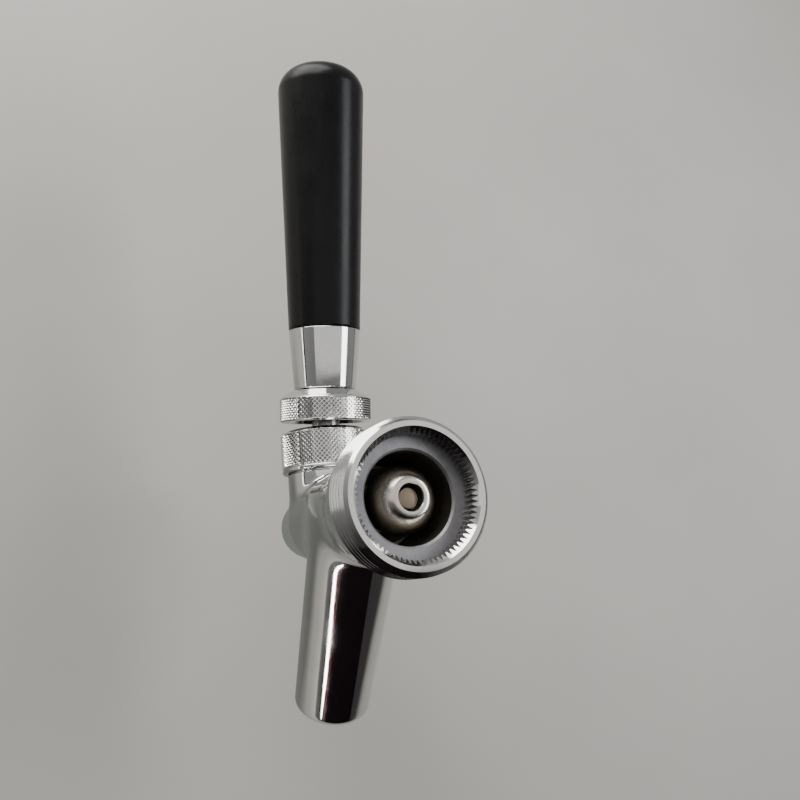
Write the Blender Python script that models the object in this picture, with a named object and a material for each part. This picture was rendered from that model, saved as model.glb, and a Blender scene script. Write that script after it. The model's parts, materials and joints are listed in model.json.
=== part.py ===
"""Beer tap: a chromed shank-mounted faucet with a tilting lever, a sliding valve shaft and a screw-on handle.

Metres, +Z up. The origin is the centre of the inlet rim, on the inlet axis, and +Y points out of the inlet,
towards the shank that carries the tap. The tap is a mirror image of itself in the plane X = 0.
"""

from math import acos, asin, atan2, cos, hypot, pi, radians, sin, sqrt, tau

import bmesh
import bpy
from mathutils import Euler, Vector

MM = 0.001
GAP = 0.3 * MM  # clearance between two pieces that touch on the real tap
EXTRA = 1.0 * MM  # how far a cutter or a joined end runs past the face that it meets
ROUND = 40  # facets around the large turned pieces
SMALL_ROUND = 24  # facets around the small turned pieces
ARC_STEP = radians(15)  # turn between two points of a rounded stretch of an outline

# Inlet: 1-1/8"-18 thread outside, locking teeth inside, and the flat seat for the coupling washer.
INLET_THREAD_R = 14.2875 * MM
INLET_THREAD_LENGTH = 7.6 * MM
RIM_CHAMFER = 1.05 * MM
RELIEF_R = 13.1 * MM
TOOTH_COUNT = 72
TOOTH_CREST_R = 11.15 * MM
TOOTH_ROOT_R = 11.95 * MM
TOOTH_MOUTH_R = 12.3 * MM
SEAT_DEPTH = 4.0 * MM
INLET_BORE_R = 8.65 * MM
INLET_BORE_CHAMFER = 0.4 * MM

# Body casting.
AXIS_SETBACK = 46.65 * MM  # from the rim to the upright axis of the neck and bonnet
BARREL_R = 9.6 * MM
BARREL_END = 26.0 * MM  # from the rim to where the barrel starts to flare
FLARE_R = 10.8 * MM
FLARE_SETBACK = 20.0 * MM
CUP_R = 12.6 * MM
CUP_SETBACK = 14.0 * MM
RELIEF_SETBACK = 9.5 * MM
NOSE_R = 7.15 * MM
NOSE_SETBACK = 59.8 * MM
CHAMBER_R = 5.2 * MM
CHAMBER_FRONT = 54.5 * MM
VALVE_SEAT_DEPTH = 18.4 * MM
VALVE_SEAT_R = 6.4 * MM
VALVE_SEAT_HEIGHT = 1.4 * MM
GUIDE_BORE_R = 2.7 * MM
GUIDE_BORE_END = 62.5 * MM

# Spout: a straight tube that leans forward below the barrel.
SPOUT_LEAN = radians(31.8)
SPOUT_SETBACK = 29.1 * MM  # from the rim to where its axis crosses the inlet axis
SPOUT_LENGTH = 46.0 * MM
SPOUT_ROOT_R = 9.45 * MM
SPOUT_END_R = 8.15 * MM
SPOUT_LIP = 1.3 * MM
SPOUT_BORE_R = 6.2 * MM
SPOUT_BURIED_R = 7.0 * MM  # its upper end, inside the barrel
SPOUT_ROOT = 4.0 * MM  # along the spout, where it is widest

# Neck, bonnet and the two washers that clamp the lever's ball.
NECK_R = 8.75 * MM
NECK_THREAD_R = 8.4 * MM
NECK_SHOULDER_Z = 10.9 * MM
NECK_TOP_Z = 16.0 * MM
NECK_BORE_R = 7.0 * MM
BALL_LEDGE_Z = 7.3 * MM
LEVER_HOLE_R = 5.6 * MM
BALL_WASHER_BOTTOM_Z = 14.8 * MM
FRICTION_WASHER_TOP_Z = 10.4 * MM
FRICTION_WASHER_HOLE_R = 4.6 * MM
BONNET_R = 10.0 * MM
BONNET_BOTTOM_Z = 11.2 * MM
BONNET_LIP_TOP_Z = 12.0 * MM
BONNET_GROOVE_TOP_Z = 12.5 * MM
BONNET_KNURL_TOP_Z = 19.6 * MM
BONNET_TOP_Z = 20.35 * MM
BONNET_WEB_Z = 17.3 * MM
BONNET_MOUTH_R = 6.6 * MM

# Lever: ball pivot, slim tip in the shaft's groove, stem, and the stud that the handle screws onto.
PIVOT_Z = 12.8 * MM
LEVER_LEAN = radians(8.5)  # towards the inlet, with the valve shut
BALL_R = 6.35 * MM
LEVER_ARM = 9.2 * MM
LEVER_TIP_R = 1.7 * MM
LEVER_NECK_R = 1.3 * MM
LEVER_SHANK_R = 2.2 * MM
LEVER_STEM_R = 3.2 * MM
LEVER_STUD_R = 4.75 * MM  # 3/8"-16
LEVER_STUD_FOOT = 12.6 * MM
LEVER_STUD_TOP = 27.0 * MM

# Collar, ferrule and grip, by height above the pivot along the lever.
COLLAR_BOTTOM = 9.9 * MM
COLLAR_TOP = 15.45 * MM
COLLAR_R = 10.35 * MM
COLLAR_SHOULDER_R = 7.6 * MM
COLLAR_SHOULDER_TOP = 16.9 * MM
COLLAR_DISH_R = 8.6 * MM
COLLAR_DISH_DEPTH = 2.6 * MM
FERRULE_BOTTOM_R = 7.05 * MM
FERRULE_TOP = 30.8 * MM
FERRULE_TOP_R = 8.2 * MM
HANGER_BOLT_R = 3.95 * MM  # 5/16"-18
HANGER_BOLT_TOP = 46.0 * MM
INSERT_R = 6.2 * MM
INSERT_TOP = 44.0 * MM
GRIP_MAX_R = 10.05 * MM
GRIP_MAX_HEIGHT = 87.4 * MM
GRIP_TOP = 93.8 * MM
GRIP_CORNER = 5.4 * MM

# Valve shaft, by distance in front of the rim.
STUD_END = 4.6 * MM
STUD_R = 1.93 * MM
SHAFT_R = 3.0 * MM
SHAFT_GUIDE_R = 2.4 * MM
SHAFT_FRONT = 61.0 * MM
FLANGE_R = 4.8 * MM
FLANGE_WIDTH = 2.0 * MM
GROOVE_CORE_R = 1.5 * MM
GROOVE_WIDTH = 2 * LEVER_TIP_R + 2 * GAP
SEAT_WASHER_R = 7.2 * MM
SEAT_WASHER_THICKNESS = 3.0 * MM
BACKING_WASHER_R = 5.5 * MM
BACKING_WASHER_THICKNESS = 1.0 * MM
NUT_BALL_R = 6.5 * MM
NUT_BALL_DEPTH = 8.75 * MM
NUT_RIM_R = 3.45 * MM
NUT_RIM_DEPTH = 3.3 * MM
NUT_RECESS_R = 2.5 * MM
NUT_RECESS_DEPTH = 2.7 * MM

ALONG_INLET = Euler((-pi / 2, 0, 0))  # turns a piece's own +Z to world +Y
ALONG_SPOUT = Euler((pi - SPOUT_LEAN, 0, 0))  # turns a piece's own +Z down the spout
ALONG_LEVER = Euler((-LEVER_LEAN, 0, 0))  # turns a piece's own +Z up the lever

SPOUT_ORIGIN = Vector((0, -SPOUT_SETBACK, 0))
NECK_ORIGIN = Vector((0, -AXIS_SETBACK, 0))
PIVOT = Vector((0, -AXIS_SETBACK, PIVOT_Z))
LEVER_TIP_Y = -AXIS_SETBACK - LEVER_ARM * sin(LEVER_LEAN)


def material(name, colour, roughness, metallic):
    """A Principled material of one finish."""
    finish = bpy.data.materials.new(name)
    finish.use_nodes = True
    shader = finish.node_tree.nodes["Principled BSDF"]
    shader.inputs["Base Color"].default_value = (*colour, 1)
    shader.inputs["Roughness"].default_value = roughness
    shader.inputs["Metallic"].default_value = metallic
    return finish


def arc(centre, radius, start, end):
    """Points (r, z) of an arc round centre, from angle start to end, counted from +r towards +z."""
    steps = max(2, round(abs(end - start) / ARC_STEP))
    angles = [start + (end - start) * k / steps for k in range(steps + 1)]
    return [(centre[0] + radius * cos(a), centre[1] + radius * sin(a)) for a in angles]


def object_from(mesh_data, name, finish, place, turn, parent=None):
    """Puts a finished bmesh into a named object with smooth round faces."""
    mesh = bpy.data.meshes.new(name)
    mesh_data.to_mesh(mesh)
    mesh_data.free()
    mesh.shade_smooth()
    mesh.set_sharp_from_angle(angle=radians(35))
    obj = bpy.data.objects.new(name, mesh)
    bpy.context.scene.collection.objects.link(obj)
    obj.location = place
    obj.rotation_euler = turn
    obj.parent = parent
    if finish:
        mesh.materials.append(finish)
    return obj


def turned(name, outline, finish=None, place=(0, 0, 0), turn=(0, 0, 0), facets=ROUND, parent=None):
    """Spins an outline of (r, z) points about the piece's own Z. An outline that leaves the axis is closed."""
    shape = bmesh.new()
    points = [shape.verts.new((r, 0, z)) for r, z in outline]
    edges = [shape.edges.new(pair) for pair in zip(points, points[1:])]
    if outline[0][0] or outline[-1][0]:
        edges.append(shape.edges.new((points[-1], points[0])))
    bmesh.ops.spin(shape, geom=points + edges, axis=(0, 0, 1), cent=(0, 0, 0), angle=tau, steps=facets)
    bmesh.ops.remove_doubles(shape, verts=shape.verts, dist=1e-6)
    bmesh.ops.recalc_face_normals(shape, faces=shape.faces)
    return object_from(shape, name, finish, place, turn, parent)


def helper(obj):
    """Marks an object that only cuts or joins another."""
    obj.hide_render = True
    obj.display_type = "WIRE"
    return obj


def combine(obj, other, operation):
    """Adds a Boolean to obj. All the shapes are closed, and the exact solver leaves cracks along the teeth."""
    step = obj.modifiers.new(other.name, "BOOLEAN")
    step.operation = operation
    step.solver = "MANIFOLD"
    step.object = helper(other)


def inlet_teeth():
    """A prism with a star outline, which cuts the locking teeth inside the inlet."""
    shape = bmesh.new()
    ring = []
    for k in range(2 * TOOTH_COUNT):
        angle = pi * k / TOOTH_COUNT
        radius = TOOTH_CREST_R if k % 2 else TOOTH_ROOT_R
        ring.append(shape.verts.new((radius * cos(angle), radius * sin(angle), -SEAT_DEPTH)))
    floor = shape.faces.new(ring)
    raised = bmesh.ops.extrude_face_region(shape, geom=[floor])["geom"]
    corners = [item for item in raised if isinstance(item, bmesh.types.BMVert)]
    bmesh.ops.translate(shape, verts=corners, vec=(0, 0, 2 * SEAT_DEPTH))
    bmesh.ops.recalc_face_normals(shape, faces=shape.faces)
    return object_from(shape, "inlet_teeth_cut", None, (0, 0, 0), ALONG_INLET)


def barrel_outline():
    """Half outline of the barrel: round nose, long waist, cup behind the thread, thread and rim."""
    run = NOSE_SETBACK - AXIS_SETBACK
    tangent = atan2(run, BARREL_R) - acos(NOSE_R / hypot(run, BARREL_R))
    nose = arc((0, -NOSE_SETBACK), NOSE_R, -pi / 2, tangent)
    nose[0] = (0, nose[0][1])
    return nose + [
        (BARREL_R, -AXIS_SETBACK),
        (BARREL_R, -BARREL_END),
        (FLARE_R, -FLARE_SETBACK),
        (CUP_R, -CUP_SETBACK),
        (RELIEF_R, -RELIEF_SETBACK),
        (RELIEF_R, -INLET_THREAD_LENGTH),
        (INLET_THREAD_R, -INLET_THREAD_LENGTH),
        (INLET_THREAD_R, -RIM_CHAMFER),
        (INLET_THREAD_R - RIM_CHAMFER, 0),
        (0, 0),
    ]


def waterway_outline():
    """Half outline of the bore from the inlet seat, through the valve seat and chamber, to the nose guide."""
    chamber_end = -CHAMBER_FRONT
    seat_floor = -VALVE_SEAT_DEPTH - VALVE_SEAT_HEIGHT
    edge = INLET_BORE_R + INLET_BORE_CHAMFER + EXTRA
    return [
        (0, -GUIDE_BORE_END - GUIDE_BORE_R / 2),
        (GUIDE_BORE_R, -GUIDE_BORE_END),
        (GUIDE_BORE_R, chamber_end),
        (CHAMBER_R, chamber_end + (CHAMBER_R - GUIDE_BORE_R) / 2),
        (CHAMBER_R, -VALVE_SEAT_DEPTH),
        (VALVE_SEAT_R, -VALVE_SEAT_DEPTH),
        (VALVE_SEAT_R, seat_floor),
        (INLET_BORE_R, seat_floor),
        (INLET_BORE_R, -SEAT_DEPTH - INLET_BORE_CHAMFER),
        (edge, EXTRA - SEAT_DEPTH),
        (edge, SEAT_DEPTH),
        (0, SEAT_DEPTH),
    ]


def faucet_body(chrome):
    """The one-piece casting: barrel and nose, neck, spout and threaded inlet, with all of its bores."""
    body = turned("faucet_body", barrel_outline(), chrome, turn=ALONG_INLET)
    neck = turned(
        "neck_join",
        [
            (0, 0),
            (NECK_R, 0),
            (NECK_R, NECK_SHOULDER_Z),
            (NECK_THREAD_R, NECK_SHOULDER_Z),
            (NECK_THREAD_R, NECK_TOP_Z),
            (0, NECK_TOP_Z),
        ],
        place=NECK_ORIGIN,
    )
    lip = arc((SPOUT_END_R - SPOUT_LIP, SPOUT_LENGTH - SPOUT_LIP), SPOUT_LIP, 0, pi / 2)
    spout = turned(
        "spout_join",
        [(0, -EXTRA), (SPOUT_BURIED_R, -EXTRA), (SPOUT_ROOT_R, SPOUT_ROOT)] + lip + [(0, SPOUT_LENGTH)],
        place=SPOUT_ORIGIN,
        turn=ALONG_SPOUT,
    )
    waterway = turned("waterway_cut", waterway_outline(), turn=ALONG_INLET)
    mouth = turned(
        "tooth_chamfer_cut",
        [
            (0, -2 * EXTRA),
            (TOOTH_MOUTH_R - 2 * EXTRA, -2 * EXTRA),
            (TOOTH_MOUTH_R + EXTRA, EXTRA),
            (0, EXTRA),
        ],
        turn=ALONG_INLET,
    )
    neck_bore = turned(
        "neck_bore_cut",
        [
            (0, EXTRA),
            (LEVER_HOLE_R, EXTRA),
            (LEVER_HOLE_R, BALL_LEDGE_Z),
            (NECK_BORE_R, BALL_LEDGE_Z),
            (NECK_BORE_R, NECK_TOP_Z + EXTRA),
            (0, NECK_TOP_Z + EXTRA),
        ],
        place=NECK_ORIGIN,
    )
    spout_bore = turned(
        "spout_bore_cut",
        [
            (0, 0),
            (SPOUT_BORE_R, 0),
            (SPOUT_BORE_R, SPOUT_LENGTH - 0.5 * MM),
            (SPOUT_BORE_R + EXTRA, SPOUT_LENGTH + 0.5 * MM),
            (0, SPOUT_LENGTH + 0.5 * MM),
        ],
        place=SPOUT_ORIGIN,
        turn=ALONG_SPOUT,
    )
    for shape in (neck, spout):
        combine(body, shape, "UNION")
    for cutter in (waterway, inlet_teeth(), mouth, neck_bore, spout_bore):
        combine(body, cutter, "DIFFERENCE")


def ball_seat(low, high):
    """Points (r, z) of the hollow in a washer that fits over the lever's ball, between two heights."""
    radius = BALL_R + GAP
    return arc((0, PIVOT_Z), radius, asin((low - PIVOT_Z) / radius), asin((high - PIVOT_Z) / radius))


def bonnet(chrome):
    """The knurled cap that screws onto the neck and clamps the ball between its washers."""
    cavity_r = NECK_THREAD_R + GAP
    chamfer = BONNET_TOP_Z - BONNET_KNURL_TOP_Z
    outline = [
        (cavity_r, BONNET_BOTTOM_Z),
        (BONNET_R - 0.1 * MM, BONNET_BOTTOM_Z),
        (BONNET_R - 0.1 * MM, BONNET_LIP_TOP_Z),
        (BONNET_R - 0.6 * MM, BONNET_LIP_TOP_Z),
        (BONNET_R - 0.6 * MM, BONNET_GROOVE_TOP_Z),
        (BONNET_R, BONNET_GROOVE_TOP_Z),
        (BONNET_R, BONNET_KNURL_TOP_Z),
        (BONNET_R - chamfer, BONNET_TOP_Z),
        (BONNET_MOUTH_R, BONNET_TOP_Z),
        (LEVER_HOLE_R, BONNET_WEB_Z),
        (NECK_BORE_R, BONNET_WEB_Z),
        (NECK_BORE_R, NECK_TOP_Z + GAP),
        (cavity_r, NECK_TOP_Z + GAP),
    ]
    turned("bonnet", outline, chrome, place=NECK_ORIGIN)


def ball_washers(nylon):
    """The washer above the ball and the friction washer below it."""
    outer = NECK_BORE_R - GAP
    upper_low, upper_high = BALL_WASHER_BOTTOM_Z, BONNET_WEB_Z - GAP
    upper = ball_seat(upper_low, upper_high) + [(outer, upper_high), (outer, upper_low)]
    turned("ball_washer", upper, nylon, place=NECK_ORIGIN, facets=SMALL_ROUND)
    floor, hole_r = BALL_LEDGE_Z + GAP, FRICTION_WASHER_HOLE_R
    seat_low = PIVOT_Z - sqrt((BALL_R + GAP) ** 2 - hole_r**2)
    seat_high = FRICTION_WASHER_TOP_Z
    lower = [(hole_r, floor)] + ball_seat(seat_low, seat_high) + [(outer, seat_high), (outer, floor)]
    turned("friction_washer", lower, nylon, place=NECK_ORIGIN, facets=SMALL_ROUND)


def lever(steel, pivot):
    """Lever in one piece: tip, shank, ball, stem and threaded stud, turned about the lever's own axis."""
    shank_angle = asin(LEVER_SHANK_R / BALL_R)
    stem_angle = asin(LEVER_STEM_R / BALL_R)
    tip_top = asin(LEVER_NECK_R / LEVER_TIP_R)
    tip = arc((0, -LEVER_ARM), LEVER_TIP_R, -pi / 2, pi / 2 - tip_top)
    tip[0] = (0, tip[0][1])
    ball = arc((0, 0), BALL_R, shank_angle - pi / 2, pi / 2 - stem_angle)
    outline = tip + [(LEVER_NECK_R, -7.4 * MM), (LEVER_SHANK_R, -6.6 * MM)] + ball
    outline += [
        (LEVER_STEM_R, LEVER_STUD_FOOT - 1.2 * MM),
        (LEVER_STUD_R - 0.2 * MM, LEVER_STUD_FOOT),
        (LEVER_STUD_R - 0.2 * MM, LEVER_STUD_TOP - 1 * MM),
        (LEVER_STEM_R, LEVER_STUD_TOP),
        (0, LEVER_STUD_TOP),
    ]
    turned("lever", outline, steel, facets=SMALL_ROUND, parent=pivot)


def lever_collar(chrome, pivot):
    """Knurled lock collar on the lever's stud, dished underneath to clear the bonnet when the lever tilts."""
    bore = LEVER_STUD_R + GAP
    outline = [
        (COLLAR_DISH_R, COLLAR_BOTTOM),
        (COLLAR_R - 0.3 * MM, COLLAR_BOTTOM),
        (COLLAR_R, COLLAR_BOTTOM + 0.3 * MM),
        (COLLAR_R, COLLAR_TOP - 0.5 * MM),
        (COLLAR_R - 0.5 * MM, COLLAR_TOP),
        (COLLAR_SHOULDER_R, COLLAR_SHOULDER_TOP),
        (bore, COLLAR_SHOULDER_TOP),
        (bore, COLLAR_BOTTOM + COLLAR_DISH_DEPTH),
        (COLLAR_DISH_R - 1 * MM, COLLAR_BOTTOM + COLLAR_DISH_DEPTH),
    ]
    turned("lever_collar", outline, chrome, parent=pivot)


def handle(chrome, brass, zinc, black, pivot):
    """Handle: conical ferrule, hanger bolt, threaded insert and tapered grip."""
    ferrule_bottom = COLLAR_SHOULDER_TOP + GAP
    bolt_bottom = LEVER_STUD_TOP + GAP
    socket_r = LEVER_STUD_R + GAP
    bolt_hole_r = HANGER_BOLT_R + GAP
    ferrule = [
        (socket_r, ferrule_bottom),
        (FERRULE_BOTTOM_R - 0.4 * MM, ferrule_bottom),
        (FERRULE_BOTTOM_R, ferrule_bottom + 0.4 * MM),
        (FERRULE_TOP_R, FERRULE_TOP),
        (bolt_hole_r, FERRULE_TOP),
        (bolt_hole_r, bolt_bottom),
        (socket_r, bolt_bottom),
    ]
    turned("handle_ferrule", ferrule, chrome, parent=pivot)
    bolt_point = HANGER_BOLT_R - 1 * MM
    bolt = [
        (0, bolt_bottom + GAP),
        (bolt_point, bolt_bottom + GAP),
        (HANGER_BOLT_R, bolt_bottom + GAP + 1 * MM),
        (HANGER_BOLT_R, HANGER_BOLT_TOP - 1 * MM),
        (bolt_point, HANGER_BOLT_TOP),
        (0, HANGER_BOLT_TOP),
    ]
    turned("hanger_bolt", bolt, zinc, facets=SMALL_ROUND, parent=pivot)
    grip_bottom = FERRULE_TOP + GAP
    insert = [
        (bolt_hole_r, grip_bottom),
        (INSERT_R, grip_bottom),
        (INSERT_R, INSERT_TOP - 1 * MM),
        (INSERT_R - 1 * MM, INSERT_TOP),
        (bolt_hole_r, INSERT_TOP),
    ]
    turned("handle_insert", insert, brass, facets=SMALL_ROUND, parent=pivot)
    corner = (GRIP_MAX_R - GRIP_CORNER, GRIP_MAX_HEIGHT)
    crown_run = GRIP_MAX_R - GRIP_CORNER
    crown_rise = GRIP_TOP - GRIP_MAX_HEIGHT - GRIP_CORNER
    crown = [
        (crown_run * (1 - k / 4), GRIP_TOP - crown_rise * (1 - k / 4) ** 2) for k in range(5)
    ]
    grip = [
        (0, HANGER_BOLT_TOP + 4 * MM),
        (bolt_hole_r, HANGER_BOLT_TOP + 1 * MM),
        (bolt_hole_r, INSERT_TOP + GAP),
        (INSERT_R + GAP, INSERT_TOP + GAP),
        (INSERT_R + GAP, grip_bottom),
        (FERRULE_TOP_R, grip_bottom),
    ]
    grip += arc(corner, GRIP_CORNER, 0, pi / 2)[:-1]
    grip += crown
    turned("handle_grip", grip, black, parent=pivot)


def valve_shaft(brass, slide):
    """Shaft: front guide, two flanges with the groove for the lever's tip, rod, shoulder and threaded stud."""
    groove_front = LEVER_TIP_Y - GROOVE_WIDTH / 2
    groove_back = LEVER_TIP_Y + GROOVE_WIDTH / 2
    outline = [
        (0, -SHAFT_FRONT),
        (SHAFT_GUIDE_R - 0.6 * MM, -SHAFT_FRONT),
        (SHAFT_GUIDE_R, -SHAFT_FRONT + 0.6 * MM),
        (SHAFT_GUIDE_R, groove_front - FLANGE_WIDTH),
        (FLANGE_R, groove_front - FLANGE_WIDTH),
        (FLANGE_R, groove_front),
        (GROOVE_CORE_R, groove_front),
        (GROOVE_CORE_R, groove_back),
        (FLANGE_R, groove_back),
        (FLANGE_R, groove_back + FLANGE_WIDTH),
        (SHAFT_R, groove_back + FLANGE_WIDTH + 1 * MM),
        (SHAFT_R, -VALVE_SEAT_DEPTH),
        (STUD_R, -VALVE_SEAT_DEPTH),
        (STUD_R, -STUD_END - 0.3 * MM),
        (STUD_R - 0.3 * MM, -STUD_END),
        (0, -STUD_END),
    ]
    turned("valve_shaft", outline, brass, turn=ALONG_INLET, facets=SMALL_ROUND, parent=slide)


def valve_head(rubber, steel, slide):
    """What the stud carries: rubber seat washer, backing washer and the ball-shaped shaft nut."""
    hole_r = STUD_R + GAP
    seat_front = -VALVE_SEAT_DEPTH + GAP
    seat_back = seat_front + SEAT_WASHER_THICKNESS
    seat = [
        (hole_r, seat_front),
        (SEAT_WASHER_R, seat_front),
        (SEAT_WASHER_R, seat_back),
        (hole_r, seat_back),
    ]
    turned("seat_washer", seat, rubber, turn=ALONG_INLET, facets=SMALL_ROUND, parent=slide)
    back_front = seat_back + GAP
    back_back = back_front + BACKING_WASHER_THICKNESS
    backing = [
        (hole_r, back_front),
        (BACKING_WASHER_R, back_front),
        (BACKING_WASHER_R, back_back),
        (hole_r, back_back),
    ]
    turned("backing_washer", backing, steel, turn=ALONG_INLET, facets=SMALL_ROUND, parent=slide)
    nut_front = back_back + GAP
    front_angle = asin((nut_front + NUT_BALL_DEPTH) / NUT_BALL_R)
    rim_angle = asin(sqrt(NUT_BALL_R**2 - NUT_RIM_R**2) / NUT_BALL_R)
    ball = arc((0, -NUT_BALL_DEPTH), NUT_BALL_R, front_angle, rim_angle)
    nut = [(hole_r, nut_front)] + ball
    nut += [
        (NUT_RIM_R - 0.2 * MM, -NUT_RIM_DEPTH),
        (NUT_RECESS_R, -NUT_RIM_DEPTH),
        (NUT_RECESS_R, -NUT_RIM_DEPTH - NUT_RECESS_DEPTH),
        (hole_r, -NUT_RIM_DEPTH - NUT_RECESS_DEPTH),
    ]
    turned("shaft_nut", nut, steel, turn=ALONG_INLET, parent=slide)


def joint_frame(name, place, turn):
    """An empty on a joint's axis, which the moving pieces hang from."""
    frame = bpy.data.objects.new(name, None)
    bpy.context.scene.collection.objects.link(frame)
    frame.location = place
    frame.rotation_euler = turn
    return frame


def main():
    """Clears the scene and builds the tap."""
    for obj in list(bpy.data.objects):
        bpy.data.objects.remove(obj)
    chrome = material("chrome", (0.78, 0.78, 0.78), 0.07, 1.0)
    steel = material("polished_steel", (0.62, 0.60, 0.56), 0.18, 1.0)
    brass = material("brass", (0.62, 0.50, 0.30), 0.32, 1.0)
    zinc = material("zinc_plated_steel", (0.66, 0.67, 0.68), 0.35, 1.0)
    black = material("black_plastic", (0.012, 0.012, 0.013), 0.22, 0.0)
    nylon = material("white_nylon", (0.83, 0.82, 0.78), 0.45, 0.0)
    rubber = material("black_rubber", (0.03, 0.03, 0.03), 0.75, 0.0)
    lever_pivot = joint_frame("lever_pivot", PIVOT, ALONG_LEVER)
    shaft_slide = joint_frame("shaft_slide", (0, 0, 0), (0, 0, 0))
    faucet_body(chrome)
    bonnet(chrome)
    ball_washers(nylon)
    lever(steel, lever_pivot)
    lever_collar(chrome, lever_pivot)
    handle(chrome, brass, zinc, black, lever_pivot)
    valve_shaft(brass, shaft_slide)
    valve_head(rubber, steel, shaft_slide)


main()
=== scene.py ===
"""Looks of the beer tap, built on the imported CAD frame.

Metres, +Z up. The origin is the centre of the inlet rim, and +Y points out of the inlet.
Each sub-assembly is a class that holds its sizes, builds its meshes and dresses them.
"""

import json
import logging
from dataclasses import dataclass
from enum import Enum
from math import acos, asin, atan2, cos, hypot, pi, radians, sin, sqrt, tan, tau

import bmesh
import bpy
import numpy as np
from mathutils import Euler, Matrix, Vector

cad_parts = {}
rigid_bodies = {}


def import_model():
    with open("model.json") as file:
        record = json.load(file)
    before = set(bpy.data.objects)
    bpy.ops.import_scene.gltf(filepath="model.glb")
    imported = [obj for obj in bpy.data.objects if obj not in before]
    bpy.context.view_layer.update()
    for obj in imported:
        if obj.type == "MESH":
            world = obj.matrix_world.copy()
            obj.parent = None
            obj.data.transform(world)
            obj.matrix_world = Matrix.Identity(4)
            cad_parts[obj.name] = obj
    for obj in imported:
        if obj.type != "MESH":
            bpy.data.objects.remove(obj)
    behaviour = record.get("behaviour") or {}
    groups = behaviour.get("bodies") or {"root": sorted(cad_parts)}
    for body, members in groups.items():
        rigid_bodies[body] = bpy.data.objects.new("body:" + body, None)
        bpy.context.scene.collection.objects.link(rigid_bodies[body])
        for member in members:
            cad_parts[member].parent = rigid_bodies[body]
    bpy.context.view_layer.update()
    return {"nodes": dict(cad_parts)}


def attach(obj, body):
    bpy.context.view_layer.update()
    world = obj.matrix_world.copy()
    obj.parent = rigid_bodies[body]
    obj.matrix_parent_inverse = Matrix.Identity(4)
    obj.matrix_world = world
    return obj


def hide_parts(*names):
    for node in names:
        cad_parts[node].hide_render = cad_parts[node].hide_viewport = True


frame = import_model()

MM = 0.001
FACETS = 128  # around the large turned pieces
SMALL_FACETS = 72  # around the small turned pieces
ARC_STEP = radians(12)
SHARP = radians(32)
LEVER_LEAN = radians(8.5)
SPOUT_LEAN = radians(31.8)
AXIS_BACK = 46.65  # mm from the rim to the upright axis of neck and bonnet
SPOUT_BACK = 29.1  # mm from the rim to the place where the spout's axis leaves the barrel's
AXIS_SETBACK = AXIS_BACK * MM
SPOUT_START = Vector((0, -SPOUT_BACK * MM, 0))
KNURL_DEPTH = 0.36  # mm
PEEL_SCALE = 900.0  # orange peel on moulded pieces
PEEL_DEPTH = 0.006 * MM
PIVOT = Vector((0, -AXIS_SETBACK, 12.8 * MM))

log = logging.getLogger("tap")

Outline = list[tuple[float, float]]
Corner = tuple[float, float, float]
Colour = tuple[float, float, float]


class Body(Enum):
    """The moving bodies of the frame."""

    CASTING = "body"
    LEVER = "lever"
    VALVE = "valve"


class Slot(Enum):
    """The record's material slots."""

    CHROME = "chrome"
    STEEL = "polished_steel"
    BRASS = "brass"
    ZINC = "zinc_plated_steel"
    PLASTIC = "black_plastic"
    NYLON = "white_nylon"
    RUBBER = "black_rubber"


class Lay(Enum):
    """Where a turned piece's own axis, its +Z, lies in the row frame."""

    INLET = "along the inlet"
    NECK = "up the neck"
    LEVER = "up the lever"
    SPOUT = "down the spout"

    def matrix(self) -> Matrix:
        """The matrix that puts a piece of this lay in place.

        Returns:
            A turn about X, then a shift.
        """
        places = {
            Lay.INLET: (Vector((0, 0, 0)), -pi / 2),
            Lay.NECK: (Vector((0, -AXIS_SETBACK, 0)), 0),
            Lay.LEVER: (PIVOT, -LEVER_LEAN),
            Lay.SPOUT: (SPOUT_START, pi - SPOUT_LEAN),
        }
        place, turn = places[self]
        return Matrix.Translation(place) @ Euler((turn, 0, 0)).to_matrix().to_4x4()


# ---------------------------------------------------------------- shader graph


class Socket:
    """One output of a shader node, with arithmetic that adds Math nodes."""

    def __init__(self, graph: "Graph", port: bpy.types.NodeSocket) -> None:
        """Wraps one output socket of a graph."""
        self.graph = graph
        self.port = port

    def _math(self, operation: str, left: object, right: object = 0.0) -> "Socket":
        """Adds one Math node on two values, each a number or a Socket."""
        return self.graph.node("ShaderNodeMath", {"operation": operation}, {0: left, 1: right})

    def __add__(self, other: object) -> "Socket":
        """self + other."""
        return self._math("ADD", self, other)

    def __radd__(self, other: object) -> "Socket":
        """other + self."""
        return self._math("ADD", other, self)

    def __sub__(self, other: object) -> "Socket":
        """self - other."""
        return self._math("SUBTRACT", self, other)

    def __rsub__(self, other: object) -> "Socket":
        """other - self."""
        return self._math("SUBTRACT", other, self)

    def __mul__(self, other: object) -> "Socket":
        """self * other."""
        return self._math("MULTIPLY", self, other)

    def __rmul__(self, other: object) -> "Socket":
        """other * self."""
        return self._math("MULTIPLY", other, self)


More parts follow.
